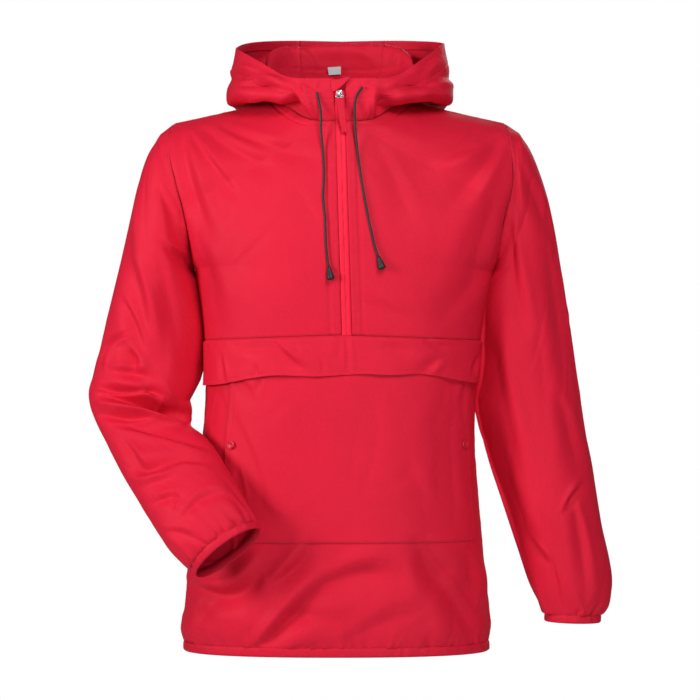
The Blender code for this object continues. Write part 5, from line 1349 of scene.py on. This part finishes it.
def finish_of(name):
    """The material of that name, laid out on first use."""
    if name in bpy.data.materials:
        return bpy.data.materials[name]
    scene = bpy.context.scene
    cloth, trims = scene.anorak_cloth, scene.anorak_trims
    red = tuple(cloth.colour)
    cord, metal, label = (tuple(colour) for colour in (trims.cord_colour, trims.metal_colour,
                                                       trims.label_colour))
    maker, *values = {
        "nylon shell": (woven, red, cloth.thread_pitch, cloth.roughness, cloth.crinkle),
        "elastic binding": (woven, tinted(red, -0.04), 0.001, 0.55, 0.6),
        "zip tape weave": (woven, tinted(red, 0.32), 0.0008, 0.5, 0.25),
        "zip coil": (moulded, tinted(red, 0.16), 0.34),
        "sewing thread": (thread_finish, tinted(red, -0.1)),
        "label satin": (woven, label, 0.0005, 0.4, 0.2, 0.1),
        "label thread": (thread_finish, label),
        "cord braid": (braided, cord),
        "cord end rubber": (moulded, cord, 0.46),
        "bright metal": (plated, metal, 0.24),
        "painted snap": (moulded, tinted(red, -0.1), 0.36),
        "pale floor": (plain_ground, (0.9, 0.9, 0.9)),
    }[name]
    return maker(name, *values)


# ---------------------------------------------------------------- zip, pull, label and snaps
# Section of one zip tape from the zip's middle outwards: metres aside, and metres back.
TAPE_SECTION = np.array([(0.18, 1.6), (0.22, 0.8), (0.6, 0.2), (1.4, -0.1), (2.6, -0.2), (4, -0.1),
                         (5.2, 0.3), (6, 1), (6.4, 1.7)]) / 1000
# Turned profiles of a cord end and a snap: metres along the axis, and radius.
BELL_PROFILE = np.array([(0, 1.6), (0.3, 2.1), (1.2, 2.5), (4, 2.9), (8, 3.7), (12, 4.6), (14.6, 5.2),
                         (15.8, 5.3), (16.5, 4.9), (16.9, 4), (16.6, 2.4), (15.5, 1.9)]) / 1000
SNAP_PROFILE = np.array([(0, 5), (0.4, 5.5), (1.2, 5.5), (1.8, 5), (2, 4.3), (1.8, 3.6), (1.3, 3.1),
                         (1.1, 2.2), (1, 0.8)]) / 1000
# The zip guard's outer face along its upper and its lower edge.
GUARD_TOP = [(-0.0136, -0.1074, 0.0172), (-0.004, -0.1084, 0.0184), (0.005, -0.1084, 0.0204),
             (0.0111, -0.1074, 0.0228)]
GUARD_LOW = [(-0.012, -0.109, 0.004), (-0.0084, -0.1098, 0.0022), (0.001, -0.111, 0.0085),
             (0.0108, -0.1085, 0.018)]


def slider_face():
    """y of the slider's outer face."""
    return HOOD[0].low_out[1] - 0.0004 - SLIDER_SIZE[1]


def pin_point():
    """Middle of the bail's upper bar, where the pull swings."""
    return np.array([zip_middle(SLIDER_Z), slider_face() - PIN_OUT, SLIDER_Z + 0.0005])


def tape_cloth(sign):
    """One half of the closed zip: its rounded edge, its width and the edge that is sewn down."""
    path = zip_path(230)
    grid = np.zeros((len(path), len(TAPE_SECTION), 3))
    for k, (aside, back) in enumerate(TAPE_SECTION):
        grid[:, k] = path + np.array([sign * aside, back, 0.0])
    wave = 0.00025 * np.sin(path[:, 2] * 260 + sign) + 0.0002 * np.sin(path[:, 2] * 97 + 2 * sign)
    grid[:, 1:-1, 1] += wave[:, None]
    return Cloth(grid if sign > 0 else grid[:, ::-1], 1)


def slab_rings(rows, width, thick, steps=3):
    """Closed rings of a flat strip with rounded edges round the given middle points."""
    rings = []
    half = thick / 2
    for x, y, z in rows:
        ring = []
        for side, start in ((1, -90), (-1, 90)):
            for step in range(steps + 1):
                turn = math.radians(start + 180 * step / steps)
                ring.append((x + side * (width / 2 - half) + half * math.cos(turn),
                             y + half * math.sin(turn), z))
            ring += [(x + side * width * share, y + side * half, z)
                     for share in (0.3, 0.15, 0.0, -0.15, -0.3)]
        rings.append(ring)
    return np.array(rings)


def strip_object(name, rings, material):
    """A closed strip from rings of points, with UVs in metres."""
    wrapped = np.concatenate([rings, rings[:, :1]], axis=1)
    uvs = np.stack([lengths_along(wrapped, 1), lengths_along(wrapped, 0)], axis=-1).reshape(-1, 2)
    result = mesh_object(name, wrapped.reshape(-1, 3), grid_faces(*wrapped.shape[:2]), material, uvs)
    with edited(result.data) as bm:
        bmesh.ops.remove_doubles(bm, verts=bm.verts, dist=FINE_WELD)
        bmesh.ops.holes_fill(bm, edges=[edge for edge in bm.edges if edge.is_boundary], sides=0)
    return cleaned(result)


def puller_rings():
    """The cloth pull: a folded strip that hangs from the bail and leans a little."""
    width, thick, long = PULLER_SIZE
    pin = pin_point()
    rows = []
    for share in np.linspace(0, 1, 45):
        x = pin[0] + PULLER_LEAN * share + 0.0003 * math.sin(share * 9)
        y = pin[1] + 0.0002 * math.sin(share * 7)
        rows.append((x, y, pin[2] - BAIL_DROP - 0.00095 - long * share))
    rings = slab_rings(rows, width, thick)
    share = np.linspace(0, 1, len(rows))[:, None]
    uneven = 1 - 0.05 * np.sin(share * 23) * share - 0.16 * share
    middle = rings.mean(axis=1, keepdims=True)
    rings[..., 0] = middle[..., 0] + (rings[..., 0] - middle[..., 0]) * uneven
    dip = 0.25 * np.exp(-((share - 0.12) / 0.018) ** 2) + 0.2 * np.exp(-((share - 0.3) / 0.02) ** 2)
    rings[..., 1] = middle[..., 1] + (rings[..., 1] - middle[..., 1]) * (1 - dip)
    return rings


def bail_path():
    """The bail's wire: a rounded loop hanging from the pin."""
    pin = pin_point()
    corner, points = 0.0015, []
    for x, z, start in ((BAIL_TOP, 0.0, 90), (BAIL_FOOT, -BAIL_DROP, 0),
                        (-BAIL_FOOT, -BAIL_DROP, -90), (-BAIL_TOP, 0.0, -180)):
        middle_x = x - math.copysign(corner, x)
        middle_z = z - corner if z == 0.0 else z + corner
        for step in range(9):
            turn = math.radians(start - 90 * step / 8)
            points.append(pin + (middle_x + corner * math.cos(turn), 0.0,
                                 middle_z + corner * math.sin(turn)))
    return np.array(points)


def closed_tube(name, path, sides, radius, material):
    """A round wire bent into a closed loop in an X-Z plane."""
    tangents = unit(np.roll(path, -1, axis=0) - np.roll(path, 1, axis=0))
    other = np.cross(tangents, (0.0, 1.0, 0.0))
    turn = np.linspace(0, 2 * math.pi, sides, endpoint=False)[None, :, None]
    rings = path[:, None] + radius * (other[:, None] * np.cos(turn)
                                      + np.array([0.0, 1.0, 0.0]) * np.sin(turn))
    return ring_mesh(name, rings, material, closed=True)


def plate_object(name, outline, front, back, rim, material):
    """A flat plate with rounded rims from its outline in X-Z."""
    toward = unit(np.mean(outline, axis=0) - outline)
    rings = []
    for y, inset in ((front, rim), (front + rim * 0.3, rim * 0.7), (front + rim, 0.0),
                     (back - rim, 0.0), (back - rim * 0.3, rim * 0.7), (back, rim)):
        x, z = (outline + toward * inset).T
        rings.append(np.stack([x, np.full(len(x), y), z], axis=-1))
    return ring_mesh(name, np.array(rings), material)


def slider_object(material):
    """The slider: a waisted body, and the arched bridge that holds the bail."""
    width, deep, tall = SLIDER_SIZE
    x, face = zip_middle(SLIDER_Z), slider_face()
    outline = []
    for turn in np.linspace(0, 2 * math.pi, 40, endpoint=False):
        wide = width / 2 * (0.8 + 0.2 * math.sin(turn))
        reach = [abs(part) ** 0.5 * math.copysign(1, part) for part in (math.cos(turn), math.sin(turn))]
        outline.append((x + wide * reach[0], SLIDER_Z + tall / 2 * reach[1]))
    body = plate_object("zip_slider_body", np.array(outline), face, face + deep, 0.0004, material)
    out, low, high = PIN_OUT + 0.00185, -0.0034, 0.0034
    middle_z = SLIDER_Z + 0.0005
    arch = [(face + 0.0004, low), (face - out * 0.62, low), (face - out * 0.92, low * 0.72),
            (face - out, low * 0.4), (face - out, high * 0.4), (face - out * 0.92, high * 0.72),
            (face - out * 0.62, high), (face + 0.0004, high)]
    inner = [(face - 0.00015, -0.0021), (face - PIN_OUT - 0.0009, -0.0019),
             (face - PIN_OUT - 0.0009, 0.0019), (face - 0.00015, 0.0021)]
    points = [(x + side, y, middle_z + z) for side in (-BRIDGE_HALF, BRIDGE_HALF) for y, z in arch + inner]
    faces = []
    count, per = len(arch) + len(inner), len(arch)
    for k in range(per - 1):
        faces.append((k, k + 1, count + k + 1, count + k))
    for k in range(len(inner) - 1):
        faces.append((per + k + 1, per + k, count + per + k, count + per + k + 1))
    pairs = [0, 0, 1, 1, 2, 2, 3, 3]
    for low_k in (0, count):
        for k in range(per - 1):
            a, b = per + pairs[k], per + pairs[k + 1]
            quad = [low_k + k, low_k + k + 1, low_k + b] + ([low_k + a] if a != b else [])
            faces.append(tuple(quad))
    bridge = mesh_object("zip_slider_bridge", points, faces, material)
    spare = bridge.data
    with edited(body.data) as bm:
        bm.from_mesh(spare)
        bmesh.ops.recalc_face_normals(bm, faces=bm.faces)
    bpy.data.objects.remove(bridge, do_unlink=True)
    bpy.data.meshes.remove(spare)
    return body


def guard_rings():
    """The folded corner over the zip's upper end: two layers that meet in a soft fold."""
    share = np.linspace(0, 1, 34)
    top = spline(np.linspace(0, 1, len(GUARD_TOP)), GUARD_TOP, share)
    low = spline(np.linspace(0, 1, len(GUARD_LOW)), GUARD_LOW, share)
    rows = np.linspace(0, 1, 22)[:, None, None]
    face = low[None] + (top - low)[None] * rows
    face[..., 1] -= 0.0007 * np.sin(math.pi * rows[..., 0]) * np.sin(math.pi * share[None])
    face[..., 1] += 0.0004 * np.sin(share[None] * 11 + rows[..., 0] * 3)
    behind = face + np.array([0.0, 0.0016, 0.0])
    behind = low.mean(axis=0) * 0.04 + top.mean(axis=0) * 0.04 + behind * 0.92
    return face, behind


def guard_object(material):
    face, behind = guard_rings()
    rounded = (face + behind) / 2 + (face - behind) * np.array([0.3, 0.0, 0.3])
    rows, columns = face.shape[:2]
    around = [np.concatenate([layer[0], layer[1:-1, -1], layer[-1, ::-1], layer[1:-1, 0][::-1]])
              for layer in (face, rounded, behind)]
    points = np.concatenate([face.reshape(-1, 3), behind.reshape(-1, 3)] + around)
    faces = grid_faces(rows, columns) + grid_faces(rows, columns, True, rows * columns)
    count, first = len(around[0]), 2 * rows * columns
    for k in range(2):
        for j in range(count):
            a, b = first + k * count + j, first + k * count + (j + 1) % count
            faces.append((a, b, b + count, a + count))
    flat = [face[..., [0, 2]].reshape(-1, 2)] * 2 + [layer[:, [0, 2]] for layer in around]
    return cleaned(mesh_object("zip_guard_cloth", points, faces, material, np.concatenate(flat)))


def label_cloth():
    """The blank label, sewn by its upper edge inside the hood."""
    grid = np.array([[hood_profile(angle, [at], True)[0] for angle in np.linspace(*LABEL_ANGLES, 30)]
                     for at in np.linspace(*LABEL_AT, 40)])
    inner = normals_of(grid, 1)
    middle = np.array([0.0, 0.0, 0.05])
    if ((middle - grid) * inner).sum() < 0:
        inner = -inner
    bow = 0.0008 * np.sin(np.linspace(0, 3.1, 40))[:, None] * np.sin(np.linspace(0, 4.5, 30))[None]
    grid = grid + inner * (0.0024 + bow)[..., None]
    cloth = Cloth(grid, 1)
    if (cloth.normals * inner).sum() < 0:
        cloth.sign = -1
        cloth.settle()
    return cloth


# ---------------------------------------------------------------- settings a user would change
def colour_setting(name, description, default):
    return bpy.props.FloatVectorProperty(name=name, description=description, subtype="COLOR", size=3,
                                         min=0.0, max=1.0, default=default)


def length_setting(name, description, default):
    return bpy.props.FloatProperty(name=name, description=description, unit="LENGTH", precision=5,
                                   min=0.0, default=default)


def share_setting(name, description, default):
    return bpy.props.FloatProperty(name=name, description=description, subtype="FACTOR", min=0.0,
                                   max=2.0, default=default)


def power_setting(name, description, default):
    return bpy.props.FloatProperty(name=name, description=description, unit="POWER", min=0.0,
                                   default=default)


class AnorakCloth(bpy.types.PropertyGroup):
    """The shell cloth"""
    colour: colour_setting("Shell colour", "Colour of the nylon shell", (0.66, 0.011, 0.037))
    roughness: share_setting("Roughness", "How matt the shell is", 0.6)
    thread_pitch: length_setting("Thread pitch", "Distance between threads of the weave", 0.0005)
    crinkle: share_setting("Crinkle", "Strength of the fine crinkle in the cloth", 1.0)
    crumple: share_setting("Folds", "Depth of folds and puckers", 1.0)
    grid: length_setting("Grid", "Distance between points of the cloth", 0.0024)


class AnorakStitches(bpy.types.PropertyGroup):
    """Topstitching"""
    pitch: length_setting("Pitch", "Distance from stitch to stitch", 0.0032)
    length: length_setting("Stitch length", "Length of one stitch", 0.0027)
    radius: length_setting("Thread radius", "Half the thickness of the thread", 0.00019)


class AnorakTrims(bpy.types.PropertyGroup):
    """Cords, zip, snaps and label"""
    cord_colour: colour_setting("Cord colour", "Colour of drawcords and their ends",
                                (0.01, 0.014, 0.014))
    label_colour: colour_setting("Label colour", "Colour of the blank label", (0.52, 0.58, 0.6))
    metal_colour: colour_setting("Metal colour", "Colour of slider and bail", (0.62, 0.65, 0.66))
    coil_pitch: length_setting("Coil pitch", "Distance from tooth to tooth of the zip", 0.00125)


class AnorakStage(bpy.types.PropertyGroup):
    """Floor, light and camera"""
    key_power: power_setting("Key light", "Power of the main light", 28.0)
    fill_power: power_setting("Fill light", "Power of the lights in front", 30.5)
    back_power: power_setting("Back light", "Power of the light behind", 24.0)
    sky: share_setting("Sky", "Strength of the light from all round", 0.11)
    view_width: length_setting("View width", "Width seen by the camera at the garment", 0.931)


# ---------------------------------------------------------------- fixing pieces to the frame
def finished(piece, slot, *nodes, body="garment"):
    """Fixes a piece to its body, in place of the solids it stands for, which it hides."""
    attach(piece, body)
    if nodes:
        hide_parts(*nodes)
    return piece


def sewn(name, node, cloths):
    """A panel of the shell in place of its solid."""
    piece = finished(cloth_object(name, cloths, finish_of("nylon shell")), "shell_cloth", node)
    area = sum(np.linalg.norm(np.cross(np.diff(cloth.flat, axis=1)[:-1],
                                       np.diff(cloth.flat, axis=0)[:, :-1]), axis=2).sum()
               for cloth in cloths)


def stitched(name, lines, thread="sewing thread", body="garment", slot="shell_cloth", **changes):
    """Rows of stitches along the given lines, as one piece."""
    settings = bpy.context.scene.anorak_stitches
    inputs = {"Pitch": settings.pitch, "Length": settings.length, "Radius": settings.radius, **changes}
    return finished(repeated(name, lines, finish_of(thread), **inputs), slot, body=body)


class AnorakOperator:
    """What all the operators share."""
    bl_options = {"REGISTER", "UNDO"}

    @property
    def cloth(self):
        return bpy.context.scene.anorak_cloth


class ANORAK_OT_stage(AnorakOperator, bpy.types.Operator):
    """Set the floor, the soft lights and the camera"""
    bl_idname = "anorak.stage"
    bl_label = "Stage"

    def execute(self, context):
        settings = context.scene.anorak_stage
        scene = context.scene
        side = np.linspace(-FLOOR_HALF, FLOOR_HALF, 9)
        points = [(x, y, FLOOR_Z) for y in side for x in side]
        floor = mesh_object("floor", points, grid_faces(9, 9), finish_of("pale floor"))
        centre = np.mean(CAD_BOX, axis=0)
        centre[1] = LIGHTS_AIM_Y
        for name, place, size, power in (
                ("key_light", (-1.7, -1.16, 0.15), 0.8, settings.key_power),
                ("low_light", (0.75, -1.95, -0.75), 0.9, settings.fill_power * 0.3),
                ("high_light", (0.4, -1.62, 0.95), 0.9, settings.fill_power * 0.74),
                ("back_light", (0.8, 2.6, 0.9), 1.6, settings.back_power)):
            data = bpy.data.lights.new(name, "AREA")
            data.shape, data.size, data.energy = "DISK", size, power
            light = bpy.data.objects.new(name, data)
            light.location = place
            turn = centre - place
            light.rotation_euler = (math.acos(-turn[2] / np.linalg.norm(turn)), 0.0,
                                    math.atan2(-turn[0], turn[1]))
            scene.collection.objects.link(light)
        world = bpy.data.worlds.new("white surround")
        world.use_nodes = True
        nodes = Nodes(world.node_tree)
        lit, seen = (nodes.node("ShaderNodeBackground", {"Color": (1.0, 1.0, 1.0, 1.0), "Strength": share})
                     for share in (settings.sky, 1.0))
        ray = nodes.node("ShaderNodeLightPath").outputs["Is Camera Ray"]
        mix = nodes.node("ShaderNodeMixShader", {0: ray, 1: lit, 2: seen})
        nodes.node("ShaderNodeOutputWorld", {"Surface": mix})
        scene.world = world
        scene.view_settings.view_transform = "Standard"
        camera = bpy.data.cameras.new("camera")
        camera.sensor_width = SENSOR_WIDE
        camera.lens = SENSOR_WIDE * -CAMERA_AT[1] / settings.view_width
        view = bpy.data.objects.new("camera", camera)
        view.location = CAMERA_AT
        view.rotation_euler = (math.pi / 2, 0.0, 0.0)
        scene.collection.objects.link(view)
        scene.camera = view
        return {"FINISHED"}


class ANORAK_OT_cords(AnorakOperator, bpy.types.Operator):
    """Lay the two drawcords and their moulded ends"""
    bl_idname = "anorak.cords"
    bl_label = "Drawcords"

    def execute(self, context):
        for side, route in (("left", CORD_LEFT), ("right", CORD_RIGHT)):
            path, ends = smooth_route(route, 150), smooth_route(route, 28)
            axis = unit(unit(ends[-1] - ends[-3]) + np.array([0.0, -0.14, 0.0]))
            end = turned_object("cord_end_bell_" + side, ends[-1] + axis * SEAM_GAP, axis, BELL_PROFILE,
                                40, finish_of("cord end rubber"))
            finished(end, "cord_end", "cord_end_" + side)
            cord = tube_object("cord_braid_" + side, path, 16, CORD_RADIUS, finish_of("cord braid"))
            finished(cord, "drawcord", "cord_" + side)
        return {"FINISHED"}


class ANORAK_OT_chest(AnorakOperator, bpy.types.Operator):
    """Sew the two halves of the upper front"""
    bl_idname = "anorak.chest"
    bl_label = "Upper front"

    def execute(self, context):
        lines = []
        for right, side in ((False, "left"), (True, "right")):
            cloth, rows = chest_panel(right, self.cloth)
            sewn("chest_cloth_" + side, "chest_" + side, [cloth])
            lines += rows
        stitched("chest_stitching", lines)
        return {"FINISHED"}


class ANORAK_OT_front(AnorakOperator, bpy.types.Operator):
    """Sew the lower front, its pouch pocket and the pocket's flap"""
    bl_idname = "anorak.front"
    bl_label = "Lower front and pocket"

    def execute(self, context):
        lines = []
        for name, node, panel, held in (("front_lower_cloth", "front_lower", front_panel, "stretched"),
                                        ("pocket_cloth", "pocket_panel", pocket_panel, "stretched"),
                                        ("flap_cloth", "pocket_flap", flap_panel, "hung")):
            cloth, rows = panel(self.cloth)
            sewn(name, node, [cloth])
            lines += rows
        stitched("front_stitching", lines)
        return {"FINISHED"}


class ANORAK_OT_back(AnorakOperator, bpy.types.Operator):
    """Sew the back"""
    bl_idname = "anorak.back"
    bl_label = "Back"

    def execute(self, context):
        cloths, lines = back_panels(self.cloth)
        sewn("back_cloth", "back", cloths)
        stitched("back_stitching", lines)
        return {"FINISHED"}


class ANORAK_OT_sleeves(AnorakOperator, bpy.types.Operator):
    """Sew both sleeves and bind their cuffs"""
    bl_idname = "anorak.sleeves"
    bl_label = "Sleeves and cuffs"

    def execute(self, context):
        lines = []
        for right, side in ((False, "left"), (True, "right")):
            cloth, rows = sleeve_panel(right, self.cloth)
            band = band_object("cuff_band_" + side, cuff_band(cloth, 150 + right),
                               finish_of("elastic binding"))
            finished(band, "binding", "cuff_binding_" + side)
            sewn("sleeve_cloth_" + side, "sleeve_" + side, [cloth])
            lines += rows
        stitched("sleeve_stitching", lines)
        return {"FINISHED"}


class ANORAK_OT_hem(AnorakOperator, bpy.types.Operator):
    """Bind the hem"""
    bl_idname = "anorak.hem"
    bl_label = "Hem binding"

    def execute(self, context):
        rows = hem_band()
        finished(band_object("hem_band", rows, finish_of("elastic binding")), "binding", "hem_binding")
        stitched("hem_stitching", [rows[3] + (0.0, 0.0, 0.0012)], slot="binding")
        return {"FINISHED"}


class ANORAK_OT_hood(AnorakOperator, bpy.types.Operator):
    """Sew the hood's sides and centre, the zip guard and the blank label"""
    bl_idname = "anorak.hood"
    bl_label = "Hood and label"

    def execute(self, context):
        lines = []
        for left, side in ((True, "left"), (False, "right")):
            cloth, rows = hood_panel(left, self.cloth)
            sewn("hood_cloth_" + side, "hood_side_" + side, [cloth])
            lines += rows
        cloth, rows = hood_centre_panel(self.cloth)
        label = label_cloth()
        tag = cloth_object("label_blank", [label], finish_of("label satin"))
        tag.modifiers.new("Thickness", "SOLIDIFY").thickness = -0.0006
        finished(tag, "label", "neck_label")
        sewn("hood_cloth_centre", "hood_center", [cloth])
        finished(guard_object(finish_of("nylon shell")), "shell_cloth", "zip_guard")
        face = guard_rings()[0]
        lines += [face[2] - (0.0, 0.0003, 0.0), face[-3, 2:-2] - (0.0, 0.0003, 0.0)]
        stitched("hood_stitching", lines + rows)
        stitched("label_stitching", [label.line("top", 0.002), label.line("left", 0.0015),
                                     label.line("right", 0.0015)], "label thread", slot="label",
                 Pitch=0.0022, Length=0.0018, Radius=0.00013)
        return {"FINISHED"}


class ANORAK_OT_zip(AnorakOperator, bpy.types.Operator):
    """Lay the zip's tapes and coil, its slider, and the pull on its bail"""
    bl_idname = "anorak.zip"
    bl_label = "Zip and pull"

    def execute(self, context):
        for sign, side in ((-1, "left"), (1, "right")):
            tape = cloth_object("zip_tape_weave_" + side, [tape_cloth(sign)], finish_of("zip tape weave"))
            finished(tape, "zip_tape", "zip_tape_" + side)
        path = zip_path(300) + np.array([0.0, 0.0013, 0.0])
        pitch = context.scene.anorak_trims.coil_pitch
        coil = repeated("zip_coil_teeth", [path], finish_of("zip coil"), Pitch=pitch, Length=0.0011,
                        Radius=0.0017, Unevenness=0.0)
        finished(coil, "zip_tape")
        finished(slider_object(finish_of("bright metal")), "metal", "zip_slider")
        bail = closed_tube("zip_bail_wire", bail_path(), 12, 0.00065, finish_of("bright metal"))
        finished(bail, "metal", "zip_bail", body="pull")
        rings = puller_rings()
        puller = strip_object("zip_puller_cloth", rings, finish_of("nylon shell"))
        finished(puller, "shell_cloth", "zip_puller", body="pull")
        count = rings.shape[1]
        front = [int(k) for k in np.argsort(rings[0, :, 1])[:5]]
        across = [np.array(sorted(rings[row, front].tolist())) - (0.0, 0.0002, 0.0) for row in (4, 12)]
        low = int(np.argmin(rings[0, :, 0])), int(np.argmax(rings[0, :, 0]))
        edges = [rings[4:, k] * 0.72 + rings[4:, (k + count // 2) % count] * 0.28 for k in low]
        edges = [np.stack([edge[:, 0], rings[4:, :, 1].min(axis=1) - 0.0001, edge[:, 2]], axis=-1)
                 for edge in edges]
        stitched("pull_stitching", across + edges, body="pull", Pitch=0.0024, Length=0.0019,
                 Radius=0.00016)
        return {"FINISHED"}


class ANORAK_OT_snaps(AnorakOperator, bpy.types.Operator):
    """Set the snaps near the pocket's sides"""
    bl_idname = "anorak.snaps"
    bl_label = "Snaps"

    def execute(self, context):
        for side, turn in (("left", POCKET_LEFT_TURN + 0.045), ("right", POCKET_RIGHT_TURN - 0.065)):
            near = front_surface(np.array([SNAP_Z - 0.002, SNAP_Z, SNAP_Z + 0.002]),
                                 np.array([turn - 0.01, turn, turn + 0.01]))
            sunk = fold_depths(FRONT_FOLDS, near[..., [0, 2]])
            normal = normals_of(near, 1)[1, 1]
            start = near[1, 1] + normal * (0.0044 - sunk[1, 1])
            snap = turned_object("snap_cap_" + side, start, normal, SNAP_PROFILE, 44,
                                 finish_of("painted snap"))
            finished(snap, "snap_paint", "snap_" + side)
        return {"FINISHED"}


OPERATORS = (ANORAK_OT_stage, ANORAK_OT_cords, ANORAK_OT_chest, ANORAK_OT_front, ANORAK_OT_back,
             ANORAK_OT_sleeves, ANORAK_OT_hem, ANORAK_OT_hood, ANORAK_OT_zip, ANORAK_OT_snaps)
GROUPS = {"anorak_cloth": AnorakCloth, "anorak_stitches": AnorakStitches, "anorak_trims": AnorakTrims,
          "anorak_stage": AnorakStage}


class ANORAK_PT_build(bpy.types.Panel):
    """Settings and steps of the anorak"""
    bl_idname = "ANORAK_PT_build"
    bl_label = "Anorak Pullover"
    bl_space_type = "VIEW_3D"
    bl_region_type = "UI"
    bl_category = "Anorak"

    def draw(self, context):
        layout = self.layout
        for attribute, group in GROUPS.items():
            box = layout.box()
            box.label(text=group.__doc__)
            for name in group.__annotations__:
                box.prop(getattr(context.scene, attribute), name)
        for operator in OPERATORS:
            layout.operator(operator.bl_idname)


def register():
    for kind in (*GROUPS.values(), *OPERATORS, ANORAK_PT_build):
        bpy.utils.register_class(kind)
    for attribute, group in GROUPS.items():
        setattr(bpy.types.Scene, attribute, bpy.props.PointerProperty(type=group))


def unregister():
    for attribute in GROUPS:
        delattr(bpy.types.Scene, attribute)
    for kind in reversed((*GROUPS.values(), *OPERATORS, ANORAK_PT_build)):
        bpy.utils.unregister_class(kind)


def main():
    register()
    for operator in OPERATORS:
        getattr(bpy.ops.anorak, operator.bl_idname.split(".")[1])()


if __name__ == "__main__":
    main()
